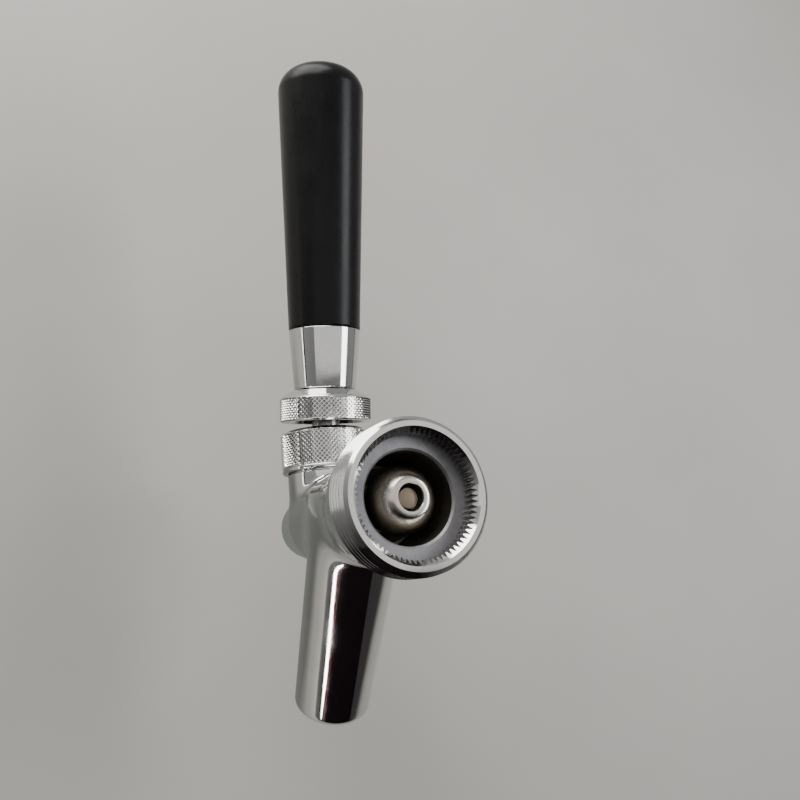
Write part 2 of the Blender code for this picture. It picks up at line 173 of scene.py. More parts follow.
class Graph:
    """A shader node tree under construction."""

    def __init__(self, tree: bpy.types.NodeTree) -> None:
        """Starts on an existing tree and empties it."""
        self.tree = tree
        self.tree.nodes.clear()

    def node(
        self, kind: str, settings: dict | None = None, inputs: dict | None = None, out: object = 0
    ) -> Socket:
        """Adds one node.

        Args:
            kind: the node's type name.
            settings: properties of the node, set before its sockets.
            inputs: socket name or index to a number, a tuple or a Socket.
            out: name or index of the output that is returned.

        Returns:
            The chosen output, wrapped.
        """
        made = self.tree.nodes.new(kind)
        for name, value in (settings or {}).items():
            setattr(made, name, value)
        for key, value in (inputs or {}).items():
            if isinstance(value, Socket):
                self.tree.links.new(value.port, made.inputs[key])
            else:
                made.inputs[key].default_value = value
        return Socket(self, made.outputs[out] if len(made.outputs) else made.inputs[0])

    def place(self, scale: tuple[float, float, float] = (1, 1, 1)) -> Socket:
        """Object coordinates through a Mapping node of the given scale."""
        here = self.node("ShaderNodeTexCoord", out="Object")
        return self.node("ShaderNodeMapping", inputs={"Vector": here, "Scale": scale})

    def noise(self, vector: Socket, scale: float, detail: float, roughness: float = 0.5) -> Socket:
        """Grey noise at a scale, in features per metre."""
        values = {"Vector": vector, "Scale": scale, "Detail": detail, "Roughness": roughness}
        return self.node("ShaderNodeTexNoise", inputs=values)

    def ramp(self, value: Socket, low: float, high: float, start: float = 0.0, end: float = 1.0) -> Socket:
        """Maps a value from low..high to start..end, clamped."""
        values = {"Value": value, 1: low, 2: high, 3: start, 4: end}
        return self.node("ShaderNodeMapRange", {"clamp": True}, values)

    def mix(self, factor: Socket, first: Colour, second: Colour) -> Socket:
        """Mixes two colours."""
        values = {0: factor, 6: (*first, 1), 7: (*second, 1)}
        return self.node("ShaderNodeMix", {"data_type": "RGBA"}, values, out=2)

    def bump(self, height: Socket, distance: float, normal: Socket | None = None) -> Socket:
        """A Bump node of full strength.

        Args:
            height: the pattern that it raises.
            distance: how far it raises the pattern's lightest places, in metres.
            normal: a bump that this one adds to.

        Returns:
            The bumped normal.
        """
        values = {"Height": height, "Strength": 1.0, "Distance": distance}
        if normal:
            values["Normal"] = normal
        return self.node("ShaderNodeBump", inputs=values)

    def surface(self, **inputs: object) -> None:
        """Ends the tree in a Principled shader.

        Args:
            inputs: the shader's inputs, named with underscores for spaces.
        """
        named = {key.replace("_", " "): value for key, value in inputs.items()}
        shader = self.node("ShaderNodeBsdfPrincipled", inputs=named)
        self.node("ShaderNodeOutputMaterial", inputs={"Surface": shader})


def new_finish(name: str) -> tuple[bpy.types.Material, Graph]:
    """Starts a material.

    Args:
        name: the material's name.

    Returns:
        The material and its empty graph.
    """
    made = bpy.data.materials.new(name)
    made.use_nodes = True
    return made, Graph(made.node_tree)


# ---------------------------------------------------------------- finishes


@dataclass(frozen=True)
class Metal:
    """A bare or plated metal: two close tones, polish with smudges, faint waviness and turning lines."""

    name: str
    tone: Colour
    second_tone: Colour
    roughness: tuple[float, float]
    smudge_scale: float = 130.0
    wave_depth: float = 0.0
    grain_depth: float = 0.0
    line_depth: float = 0.0
    line_pitch: float = 0.12 * MM

    def build(self) -> bpy.types.Material:
        """Makes the material.

        Returns:
            The material.
        """
        made, graph = new_finish(self.name)
        here = graph.place()
        smudge = graph.noise(here, self.smudge_scale, 5, 0.62)
        fine = graph.noise(here, self.smudge_scale * 9, 3, 0.6)
        patch = graph.ramp(smudge * 0.72 + fine * 0.28, 0.38, 0.66)
        colour = graph.mix(patch, self.tone, self.second_tone)
        rough = graph.ramp(patch, 0, 1, *self.roughness)
        normal = None
        if self.wave_depth:
            wave = graph.noise(here, 70, 1, 0.4)
            normal = graph.bump(wave, self.wave_depth)
        if self.grain_depth:
            grain = graph.noise(here, 2600, 2, 0.5)
            normal = graph.bump(grain, self.grain_depth, normal)
        if self.line_depth:
            settings = {"wave_type": "RINGS", "rings_direction": "Y"}
            values = {"Vector": here, "Scale": 0.3 / self.line_pitch, "Distortion": 0.4, "Detail": 2.0}
            rings = graph.node("ShaderNodeTexWave", settings, values, out="Fac")
            normal = graph.bump(rings, self.line_depth, normal)
        extra = {"Normal": normal} if normal else {}
        graph.surface(Base_Color=colour, Roughness=rough, Metallic=1.0, **extra)
        return made


@dataclass(frozen=True)
class Moulded:
    """A moulded plastic or rubber: two close tones, orange peel and small scuffs."""

    name: str
    tone: Colour
    second_tone: Colour
    roughness: tuple[float, float]
    specular: float = 0.5
    glow: float = 0.0

    def build(self) -> bpy.types.Material:
        """Makes the material.

        Returns:
            The material.
        """
        made, graph = new_finish(self.name)
        here = graph.place()
        cloud = graph.noise(here, 90, 4, 0.6)
        scuff = graph.noise(graph.place((1, 1, 0.12)), 1500, 4, 0.7)
        patch = graph.ramp(cloud * 0.6 + scuff * 0.4, 0.38, 0.66)
        colour = graph.mix(patch, self.tone, self.second_tone)
        rough = graph.ramp(patch, 0, 1, *self.roughness)
        normal = graph.bump(graph.noise(here, PEEL_SCALE, 2, 0.4), PEEL_DEPTH)
        values = {"Specular_IOR_Level": self.specular, "Subsurface_Weight": self.glow}
        graph.surface(Base_Color=colour, Roughness=rough, Normal=normal, **values)
        return made


@dataclass
class Finishes:
    """Every finish of the tap, built once."""

    def __post_init__(self) -> None:
        """Builds the materials."""
        self.chrome = Metal(
            "chrome_plate", (0.665, 0.66, 0.65), (0.60, 0.60, 0.60), (0.045, 0.12), wave_depth=0.05 * MM
        ).build()
        self.thread_chrome = Metal(
            "thread_plate", (0.62, 0.61, 0.60), (0.48, 0.47, 0.46), (0.09, 0.22), grain_depth=0.004 * MM
        ).build()
        self.knurl_chrome = Metal(
            "knurl_plate", (0.62, 0.61, 0.60), (0.40, 0.39, 0.38), (0.08, 0.18), smudge_scale=420
        ).build()
        self.seat_face = Metal(
            "machined_seat",
            (0.245, 0.24, 0.25),
            (0.195, 0.19, 0.20),
            (0.46, 0.60),
            grain_depth=0.003 * MM,
            line_depth=0.006 * MM,
            line_pitch=0.16 * MM,
        ).build()
        self.waterway = Metal(
            "waterway_wall",
            (0.30, 0.27, 0.22),
            (0.20, 0.18, 0.15),
            (0.35, 0.55),
            grain_depth=0.006 * MM,
            line_depth=0.004 * MM,
        ).build()
        self.steel = Metal(
            "polished_steel_turned",
            (0.62, 0.59, 0.54),
            (0.50, 0.47, 0.43),
            (0.17, 0.30),
            line_depth=0.0015 * MM,
            line_pitch=0.2 * MM,
        ).build()
        # Painted shade: a darker copy of the polished steel, for the lever's stem, which sits deep in shadow
        # in the collar's gap
        self.shaded_lever_steel = Metal(
            "lever_steel_painted_shade", (0.36, 0.35, 0.34), (0.28, 0.27, 0.26), (0.2, 0.34), line_depth=0.001 * MM
        ).build()
        self.brass = Metal(
            "turned_brass", (0.22, 0.175, 0.125), (0.17, 0.135, 0.10), (0.26, 0.42), line_depth=0.003 * MM
        ).build()
        self.zinc = Metal(
            "zinc_plate", (0.62, 0.64, 0.66), (0.50, 0.52, 0.55), (0.26, 0.44), grain_depth=0.004 * MM
        ).build()
        self.plastic = Moulded(
            "black_grip_plastic",
            (0.003, 0.003, 0.0031),
            (0.0052, 0.0052, 0.0054),
            (0.26, 0.35),
            specular=0.15,
        ).build()
        self.nylon = Moulded(
            "nylon_washer", (0.80, 0.79, 0.75), (0.72, 0.70, 0.65), (0.38, 0.5), glow=0.2
        ).build()
        self.rubber = Moulded(
            "rubber_washer", (0.028, 0.028, 0.029), (0.04, 0.04, 0.04), (0.6, 0.8)
        ).build()


# ---------------------------------------------------------------- mesh helpers


def scaled(points: list[tuple]) -> list[tuple]:
    """The same points, given in millimetres, in metres."""
    return [tuple(value * MM for value in point) for point in points]


def arc(
    centre: tuple[float, float], radius: float, start: float, end: float, step: float = ARC_STEP
) -> Outline:
    """An arc in the (r, z) half-plane.

    Args:
        centre: its centre.
        radius: its radius.
        start: first angle, counted from +r towards +z.
        end: last angle.
        step: about how far its points are apart, as an angle.

    Returns:
        The arc's points.
    """
    steps = max(2, round(abs(end - start) / step))
    angles = [start + (end - start) * k / steps for k in range(steps + 1)]
    return [(centre[0] + radius * cos(a), centre[1] + radius * sin(a)) for a in angles]


def rounded(corners: list[Corner], closed: bool = True) -> Outline:
    """Rounds the corners of an outline.

    Args:
        corners: (r, z, radius) of each corner, where a radius of 0 leaves it sharp.
        closed: whether the last corner leads back to the first.

    Returns:
        The outline's points, with an arc at each rounded corner.
    """
    out: Outline = []
    count = len(corners)
    for k, (r, z, radius) in enumerate(corners):
        if radius <= 0 or (not closed and k in (0, count - 1)):
            out.append((r, z))
            continue
        here = Vector((r, z))
        back = (Vector(corners[k - 1][:2]) - here).normalized()
        ahead = (Vector(corners[(k + 1) % count][:2]) - here).normalized()
        half = back.angle(ahead) / 2
        centre = here + (back + ahead).normalized() * radius / sin(half)
        first, last = here + back * radius / tan(half), here + ahead * radius / tan(half)
        start = atan2(first.y - centre.y, first.x - centre.x)
        swing = (atan2(last.y - centre.y, last.x - centre.x) - start + pi) % tau - pi
        steps = max(2, round(abs(swing) / radians(18)))
        for j in range(steps + 1):
            angle = start + swing * j / steps
            out.append((centre.x + radius * cos(angle), centre.y + radius * sin(angle)))
    return out


def mesh_from(shape: bmesh.types.BMesh, name: str, lay: Matrix | None = None) -> bpy.types.Object:
    """Puts a finished bmesh into a smooth-shaded object, with its place in its mesh.

    Args:
        shape: the bmesh, which is freed.
        name: the object's name.
        lay: what the mesh is moved by.

    Returns:
        The object.
    """
    mesh = bpy.data.meshes.new(name)
    shape.to_mesh(mesh)
    shape.free()
    if lay:
        mesh.transform(lay)
    mesh.shade_smooth()
    mesh.set_sharp_from_angle(angle=SHARP)
    obj = bpy.data.objects.new(name, mesh)
    bpy.context.scene.collection.objects.link(obj)
    return obj


def turned(name: str, outline: Outline, lay: Lay | None, facets: int = FACETS) -> bpy.types.Object:
    """Spins an outline about its own Z and lays it in place. An outline that leaves the axis is closed.

    Args:
        name: the object's name.
        outline: points (r, z) in metres.
        lay: where the piece's axis lies, or None to leave it along Z at the origin.
        facets: how many steps the turn has.

    Returns:
        The object, a closed shape.
    """
    shape = bmesh.new()
    points = [shape.verts.new((r, 0, z)) for r, z in outline]
    edges = [shape.edges.new(pair) for pair in zip(points, points[1:])]
    if outline[0][0] or outline[-1][0]:
        edges.append(shape.edges.new((points[-1], points[0])))
    bmesh.ops.spin(shape, geom=points + edges, axis=(0, 0, 1), cent=(0, 0, 0), angle=tau, steps=facets)
    bmesh.ops.remove_doubles(shape, verts=shape.verts, dist=2e-6)
    bmesh.ops.recalc_face_normals(shape, faces=shape.faces)
    return mesh_from(shape, name, lay.matrix() if lay else None)


def flatten(obj: bpy.types.Object) -> None:
    """Turns an object's modifiers into plain mesh.

    Args:
        obj: the object, which keeps its name.
    """
    graph = bpy.context.evaluated_depsgraph_get()
    live = obj.evaluated_get(graph)
    result = bpy.data.meshes.new_from_object(live, preserve_all_data_layers=True, depsgraph=graph)
    obj.modifiers.clear()
    obj.data = result


def boolean(obj: bpy.types.Object, other: bpy.types.Object, operation: str) -> None:
    """Joins, cuts or keeps the overlap of two closed shapes, and removes the second.

    Args:
        obj: the shape that is changed.
        other: the shape that changes it.
        operation: UNION, DIFFERENCE or INTERSECT.
    """
    step = obj.modifiers.new(other.name, "BOOLEAN")
    step.operation = operation
    step.solver = "MANIFOLD"
    step.object = other
    flatten(obj)
    bpy.data.objects.remove(other)


def merge(name: str, objects: list[bpy.types.Object]) -> bpy.types.Object:
    """Puts several objects of one physical piece into one mesh, keeping their materials.

    Args:
        name: the new object's name.
        objects: what goes into it, and is removed.

    Returns:
        The new object.
    """
    shape = bmesh.new()
    finishes: list[bpy.types.Material] = []
    for obj in objects:
        start = len(shape.faces)
        shape.from_mesh(obj.data)
        shape.faces.ensure_lookup_table()
        own = list(obj.data.materials)
        for face in shape.faces[start:]:
            finish = own[face.material_index]
            if finish not in finishes:
                finishes.append(finish)
            face.material_index = finishes.index(finish)
    made = mesh_from(shape, name)
    for finish in finishes:
        made.data.materials.append(finish)
    for obj in objects:
        bpy.data.objects.remove(obj)
    return made


def weigh_normals(obj: bpy.types.Object) -> None:
    """Lets the large faces set the shading, so that flats and cylinders reflect cleanly.

    Args:
        obj: the piece.
    """
    obj.data.set_sharp_from_angle(angle=SHARP)
    step = obj.modifiers.new("weighted", "WEIGHTED_NORMAL")
    step.keep_sharp = True
    step.weight = 80
    flatten(obj)


def turned_piece(
    name: str, outline: Outline, lay: Lay, finish: bpy.types.Material, facets: int = FACETS
) -> bpy.types.Object:
    """A turned shape in its finish.

    Args:
        name: the object's name.
        outline: points (r, z) in metres.
        lay: where its axis lies.
        finish: its material.
        facets: how many steps the turn has.

    Returns:
        The piece, ready to settle.
    """
    made = turned(name, outline, lay, facets)
    made.data.materials.append(finish)
    weigh_normals(made)
    return made


def threaded_piece(
    name: str, outline: Outline, lay: Lay, thread: bpy.types.Object, finish: bpy.types.Material
) -> bpy.types.Object:
    """A turned core with a screw thread on it, in one mesh.

    Args:
        name: the object's name.
        outline: the core's points (r, z) in metres.
        lay: where its axis lies.
        thread: the thread about Z, which goes into the piece.
        finish: its material.

    Returns:
        The piece, ready to settle.
    """
    core = turned("core", outline, lay, SMALL_FACETS)
    core.data.materials.append(finish)
    thread.data.transform(lay.matrix())
    made = merge(name, [core, thread])
    weigh_normals(made)
    return made


def settle(obj: bpy.types.Object, name: str, body: Body, slot: Slot, *nodes: str) -> None:
    """Names a finished piece, attaches it to its body and hides the CAD nodes that it stands for.

    Args:
        obj: the piece.
        name: its name.
        body: the body that it rides on.
        slot: its material slot; not used.
        nodes: the CAD nodes that it replaces, if it isn't a detail of such a piece.
    """
    obj.name = name
    obj.data.name = name
    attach(obj, body.value)
    if nodes:
        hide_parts(*nodes)
    log.info("%s: %d faces, rides on %s", name, len(obj.data.polygons), body.value)


# ---------------------------------------------------------------- geometry nodes


class ShapeTree:
    """A Geometry Nodes tree with named inputs, which shapes an object and is then made plain mesh."""

    def __init__(self, name: str, own: str, inputs: tuple[tuple[str, str], ...]) -> None:
        """Starts the tree.

        Args:
            name: the tree's name.
            own: name of the input that takes the object's own mesh.
            inputs: name and kind of each further input.
        """
        self.tree = bpy.data.node_groups.new(name, "GeometryNodeTree")
        face = self.tree.interface
        face.new_socket(own, in_out="INPUT", socket_type="NodeSocketGeometry")
        self.ids = {}
        for label, kind in inputs:
            made = face.new_socket(label, in_out="INPUT", socket_type="NodeSocket" + kind)
            self.ids[label] = made.identifier
        face.new_socket("Shape", in_out="OUTPUT", socket_type="NodeSocketGeometry")
        self.given = self._node("NodeGroupInput").outputs

    def _node(self, kind: str, inputs: dict | None = None, **settings: object) -> bpy.types.Node:
        """Adds a node.

        Args:
            kind: the node's type name.
            inputs: socket name or index to a number, a vector or an output socket.
            settings: properties of the node, set before its sockets.

        Returns:
            The node.
        """
        made = self.tree.nodes.new(kind)
        for name, value in settings.items():
            setattr(made, name, value)
        for key, value in (inputs or {}).items():
            if isinstance(value, bpy.types.NodeSocket):
                self.tree.links.new(value, made.inputs[key])
            else:
                made.inputs[key].default_value = value
        return made

    def _add(self, kind: str, inputs: dict | None = None, **settings: object) -> bpy.types.NodeSocket:
        """Adds a node and gives its first output."""
        return self._node(kind, inputs, **settings).outputs[0]

    def _value(self, operation: str, left: object, right: object) -> bpy.types.NodeSocket:
        """One Math node's result."""
        return self._add("ShaderNodeMath", {0: left, 1: right}, operation=operation)

    def _end(self, shape: bpy.types.NodeSocket) -> None:
        """Ends the tree in real geometry with its material.

        Args:
            shape: the geometry that the tree has made.
        """
        real = self._add("GeometryNodeRealizeInstances", {0: shape})
        dressed = self._add("GeometryNodeSetMaterial", {0: real, "Material": self.given["Finish"]})
        self._node("NodeGroupOutput", {0: dressed})

    def run(self, obj: bpy.types.Object, values: dict[str, object]) -> None:
        """Runs the tree on an object and keeps the result as its mesh.

        Args:
            obj: the object whose mesh goes in and comes out.
            values: input name to value.
        """
        step = obj.modifiers.new(self.tree.name, "NODES")
        step.node_group = self.tree
        for name, value in values.items():
            step[self.ids[name]] = value
        flatten(obj)


class RepeatTree(ShapeTree):
    """Repeats a seed shape in staggered rings about the seed's own Z."""

    def __init__(self) -> None:
        """Wires the tree: points by ring and row, with a turned seed on each."""
        sizes = (("Around", "Int"), ("Rows", "Int"), ("First Height", "Float"), ("Row Step", "Float"))
        super().__init__("staggered_rings", "Seed", (*sizes, ("Finish", "Material")))
        given = self.given
        index = self._add("GeometryNodeInputIndex")
        row = self._value("FLOOR", self._value("DIVIDE", index, given["Around"]), 0.0)
        column = self._value("MODULO", index, given["Around"])
        shift = self._value("MULTIPLY", self._value("MODULO", row, 2.0), 0.5)
        turn = self._value("DIVIDE", self._value("ADD", column, shift), given["Around"])
        angle = self._value("MULTIPLY", turn, tau)
        height = self._value("ADD", given["First Height"], self._value("MULTIPLY", row, given["Row Step"]))
        place = self._add("ShaderNodeCombineXYZ", {"Z": height})
        count = self._value("MULTIPLY", given["Around"], given["Rows"])
        points = self._add("GeometryNodePoints", {"Count": count, "Position": place})
        facing = self._add("FunctionNodeAxisAngleToRotation", {"Axis": (0, 0, 1), "Angle": angle})
        values = {"Points": points, "Instance": given["Seed"], "Rotation": facing}
        self._end(self._add("GeometryNodeInstanceOnPoints", values))

    def apply(
        self,
        seed: bpy.types.Object,
        around: int,
        rows: int,
        heights: tuple[float, float],
        finish: bpy.types.Material,
        lay: Lay,
    ) -> bpy.types.Object:
        """Repeats the seed and returns it as plain mesh.

        Args:
            seed: a small closed shape, which becomes the result.
            around: copies in one ring.
            rows: how many rings, each half a step round from the last.
            heights: height of the first ring and step to the next.
            finish: the material of all copies.
            lay: where the rings' axis lies.

        Returns:
            The seed's object, holding every copy.
        """
        values = {"Around": around, "Rows": rows, "First Height": heights[0], "Row Step": heights[1]}
        self.run(seed, {**values, "Finish": finish})
        seed.data.transform(lay.matrix())
        return seed


class ThreadTree(ShapeTree):
    """Sweeps a screw thread's section along a helix about Z."""

    STEPS = 72  # in one turn
    FLANK = radians(30)
    SUNK = 0.1  # share of the depth that lies inside the core
    CREST = 0.07  # half the crest's width, as a share of the pitch

    def __init__(self) -> None:
        """Wires the tree: a helix with upright normals, and the section swept along it with capped ends."""
        sizes = (("Turns", "Float"), ("Radius", "Float"), ("Height", "Float"), ("Steps", "Int"))
        super().__init__("screw_thread", "Section", (*sizes, ("Finish", "Material")))
        given = self.given
        values = {"Resolution": given["Steps"], "Rotations": given["Turns"], "Height": given["Height"]}
        values |= {"Start Radius": given["Radius"], "End Radius": given["Radius"]}
        spiral = self._add("GeometryNodeCurveSpiral", values)
        upright = self._add("GeometryNodeSetCurveNormal", {0: spiral}, mode="Z_UP")
        outline = self._add("GeometryNodeMeshToCurve", {0: given["Section"]})
        values = {"Curve": upright, "Profile Curve": outline, "Fill Caps": True}
        self._end(self._add("GeometryNodeCurveToMesh", values))

    def apply(
        self,
        name: str,
        pitch: float,
        depth: float,
        radius: float,
        span: tuple[float, float],
        finish: bpy.types.Material,
    ) -> bpy.types.Object:
        """Makes one thread about Z.

        Args:
            name: the object's name.
            pitch: rise in one turn.
            depth: height of the thread above its core.
            radius: radius of the core.
            span: lowest and highest place of the helix along Z.
            finish: its material.

        Returns:
            The thread, a closed shape sunk a little into its core.
        """
        sunk = self.SUNK * depth
        crest = pitch * self.CREST
        base = crest + (depth + sunk) * tan(self.FLANK)
        section = bmesh.new()
        corners = [(sunk, -base), (-depth, -crest), (-depth, crest), (sunk, base)]
        points = [section.verts.new((r, z, 0)) for r, z in corners]
        for k in range(4):
            section.edges.new((points[k], points[(k + 1) % 4]))
        made = mesh_from(section, name)
        rise = span[1] - span[0]
        values = {"Turns": rise / pitch, "Radius": radius, "Height": rise, "Steps": self.STEPS}
        self.run(made, {**values, "Finish": finish})
        made.data.transform(Matrix.Translation((0, 0, span[0])))
        shape = bmesh.new()
        shape.from_mesh(made.data)
        bmesh.ops.remove_doubles(shape, verts=shape.verts, dist=1e-7)
        bmesh.ops.recalc_face_normals(shape, faces=shape.faces)
        shape.to_mesh(made.data)
        shape.free()
        return made


# ---------------------------------------------------------------- cast body


@dataclass
class CastForm:
    """The casting's outer skin as a smooth distance field, in millimetres, meshed by surface nets."""

    cell: float = 0.46
    low: Corner = (-14.5, -69.0, -51.0)
    high: Corner = (14.5, -4.5, 14.5)
    nose_radius: float = 7.15
    nose_place: float = -59.8
    barrel_radius: float = 9.6
    waist: tuple[tuple[float, float], ...] = (
        (9.6, -46.65),
        (9.6, -28.5),
        (9.75, -25.5),
        (10.25, -22.0),
        (11.2, -18.4),
        (12.2, -15.2),
        (12.85, -12.3),
        (13.1, -9.5),
        (13.1, -6.0),
        (0, -6.0),
    )
    neck_radius: float = 8.75
    neck_top: float = 9.6
    neck_blend: float = 1.5
    spout_root: float = 9.7
    spout_end: float = 8.15
    spout_length: float = 44.6
    spout_taper_run: float = 46.0
    spout_blend: float = 4.0

    def _barrel(self, points: np.ndarray) -> np.ndarray:
        """Distance to the turned barrel: nose, waist and cup.

        Args:
            points: places, one in a row.

        Returns:
            Signed distances.
        """
        run = self.nose_place + AXIS_BACK
        tangent = atan2(-run, self.barrel_radius) - acos(self.nose_radius / hypot(run, self.barrel_radius))
        line = arc((0, self.nose_place), self.nose_radius, -pi / 2, tangent, radians(4))
        line += self.waist
        return polygon_distance(np.hypot(points[:, 0], points[:, 2]), points[:, 1], line)

    def _neck(self, points: np.ndarray) -> np.ndarray:
        """Distance to the upright neck."""
        radial = np.hypot(points[:, 0], points[:, 1] + AXIS_BACK) - self.neck_radius
        return np.maximum(radial, np.maximum(-points[:, 2], points[:, 2] - self.neck_top))

    def _spout(self, points: np.ndarray) -> np.ndarray:
        """Distance to the tapered spout.

        Args:
            points: places, one in a row.

        Returns:
            Signed distances.
        """
        along = np.array([0.0, -sin(SPOUT_LEAN), -cos(SPOUT_LEAN)])
        away = points - np.array([0.0, -SPOUT_BACK, 0.0])
        run = away @ along
        radial = np.linalg.norm(away - run[:, None] * along, axis=1)
        taper = (self.spout_root - self.spout_end) / self.spout_taper_run
        side = (radial - (self.spout_root - taper * run)) / hypot(1, taper)
        return np.maximum(side, np.maximum(-run, run - self.spout_length))

    def distance(self, points: np.ndarray) -> np.ndarray:
        """Signed distance of points to the skin, negative inside."""
        body = blend(self._barrel(points), self._neck(points), self.neck_blend)
        return blend(body, self._spout(points), self.spout_blend)

    def normals(self, points: np.ndarray) -> np.ndarray:
        """Unit outward directions of the field.

        Args:
            points: places, one in a row.

        Returns:
            Directions, one in a row.
        """
        steps = np.eye(3) * 0.01
        slope = [self.distance(points + step) - self.distance(points - step) for step in steps]
        slope = np.stack(slope, axis=1)
        return slope / np.maximum(np.linalg.norm(slope, axis=1), 1e-9)[:, None]

    def mesh(self) -> bpy.types.Object:
        """Meshes the skin, and moves each point onto it exactly.

        Returns:
            The closed skin.
        """
        low, high = np.array(self.low), np.array(self.high)
        axes = [np.arange(a, b + self.cell, self.cell) for a, b in zip(low, high)]
        shape = tuple(len(axis) for axis in axes)
        nodes = np.stack(np.meshgrid(*axes, indexing="ij"), axis=-1).reshape(-1, 3)
        field = np.concatenate([self.distance(part) for part in np.array_split(nodes, 24)]).reshape(shape)
        points, quads = surface_net(field, low, self.cell)
        for _ in range(4):
            points -= self.distance(points)[:, None] * self.normals(points) * 0.9
        mesh = bpy.data.meshes.new("casting_skin")
        mesh.from_pydata((points * MM).tolist(), [], quads.tolist())
        obj = bpy.data.objects.new("casting_skin", mesh)
        bpy.context.scene.collection.objects.link(obj)
        return obj


def blend(first: np.ndarray, second: np.ndarray, width: float) -> np.ndarray:
    """Smooth union of two distances, with a fillet of about the given width."""
    near = np.maximum(width - np.abs(first - second), 0.0) / width
    return np.minimum(first, second) - near**3 * width / 6.0


def polygon_distance(r: np.ndarray, z: np.ndarray, line: Outline) -> np.ndarray:
    """Distance in the (r, z) half-plane to an outline that starts and ends on the axis.

    Args:
        r: radii of the places.
        z: heights of the places.
        line: the outline.

    Returns:
        Signed distances, negative inside.
    """
    best = np.full(len(r), 1e9)
    inside = np.zeros(len(r), bool)
    for (r0, z0), (r1, z1) in zip(line, line[1:]):
        dr, dz = r1 - r0, z1 - z0
        share = np.clip(((r - r0) * dr + (z - z0) * dz) / (dr * dr + dz * dz), 0, 1)
        best = np.minimum(best, np.hypot(r - r0 - share * dr, z - z0 - share * dz))
        if dz:
            crossing = (z0 > z) != (z1 > z)
            inside ^= crossing & (r < r0 + (z - z0) / dz * dr)
    return np.where(inside, -best, best)


def surface_net(field: np.ndarray, low: np.ndarray, cell: float) -> tuple[np.ndarray, np.ndarray]:
    """Surface nets over a grid.

    Args:
        field: signed distances at the grid's nodes.
        low: the grid's lowest corner.
        cell: the grid's step.

    Returns:
        Points, and quads with outward faces.
    """
    sign = field < 0
    total = np.zeros((*[n - 1 for n in field.shape], 3))
    count = np.zeros([n - 1 for n in field.shape])
    corners = [(i, j, k) for i in (0, 1) for j in (0, 1) for k in (0, 1)]

    def part(array: np.ndarray, corner: tuple[int, int, int]) -> np.ndarray:
        """The grid seen from one corner of each cell."""
        return array[tuple(slice(c, n - 1 + c) for c, n in zip(corner, field.shape))]

    for corner in corners:
        for axis in range(3):
            if corner[axis]:
                continue
            far = tuple(c + (axis == a) for a, c in enumerate(corner))
            f0, f1 = part(field, corner), part(field, far)
            cross = part(sign, corner) != part(sign, far)
            share = np.where(cross, f0 / np.where(cross, f0 - f1, 1.0), 0.0)
            for a in range(3):
                total[..., a] += np.where(cross, corner[a] + (share if a == axis else 0.0), 0.0)
            count += cross
    used = count > 0
    index = np.full(used.shape, -1)
    index[used] = np.arange(used.sum())
    points = (np.argwhere(used) + total[used] / count[used][:, None]) * cell + low
    quads = []
    for axis in range(3):
        u, v = [a for a in range(3) if a != axis]
        first = [slice(1, -1)] * 3
        first[axis] = slice(0, -1)
        second = list(first)
        second[axis] = slice(1, None)
        s0, s1 = sign[tuple(first)], sign[tuple(second)]
        where = np.argwhere(s0 != s1)
        base = where + np.array([0 if a == axis else 1 for a in range(3)])
        ring = []
        for du, dv in ((-1, -1), (0, -1), (0, 0), (-1, 0)):
            at = base.copy()
            at[:, u] += du
            at[:, v] += dv
            ring.append(index[tuple(at.T)])
        quad = np.stack(ring, axis=1)
        flip = s0[tuple(where.T)] if axis != 1 else ~s0[tuple(where.T)]
        quad[~flip] = quad[~flip][:, ::-1]
        quads.append(quad)
    return points, np.concatenate(quads)


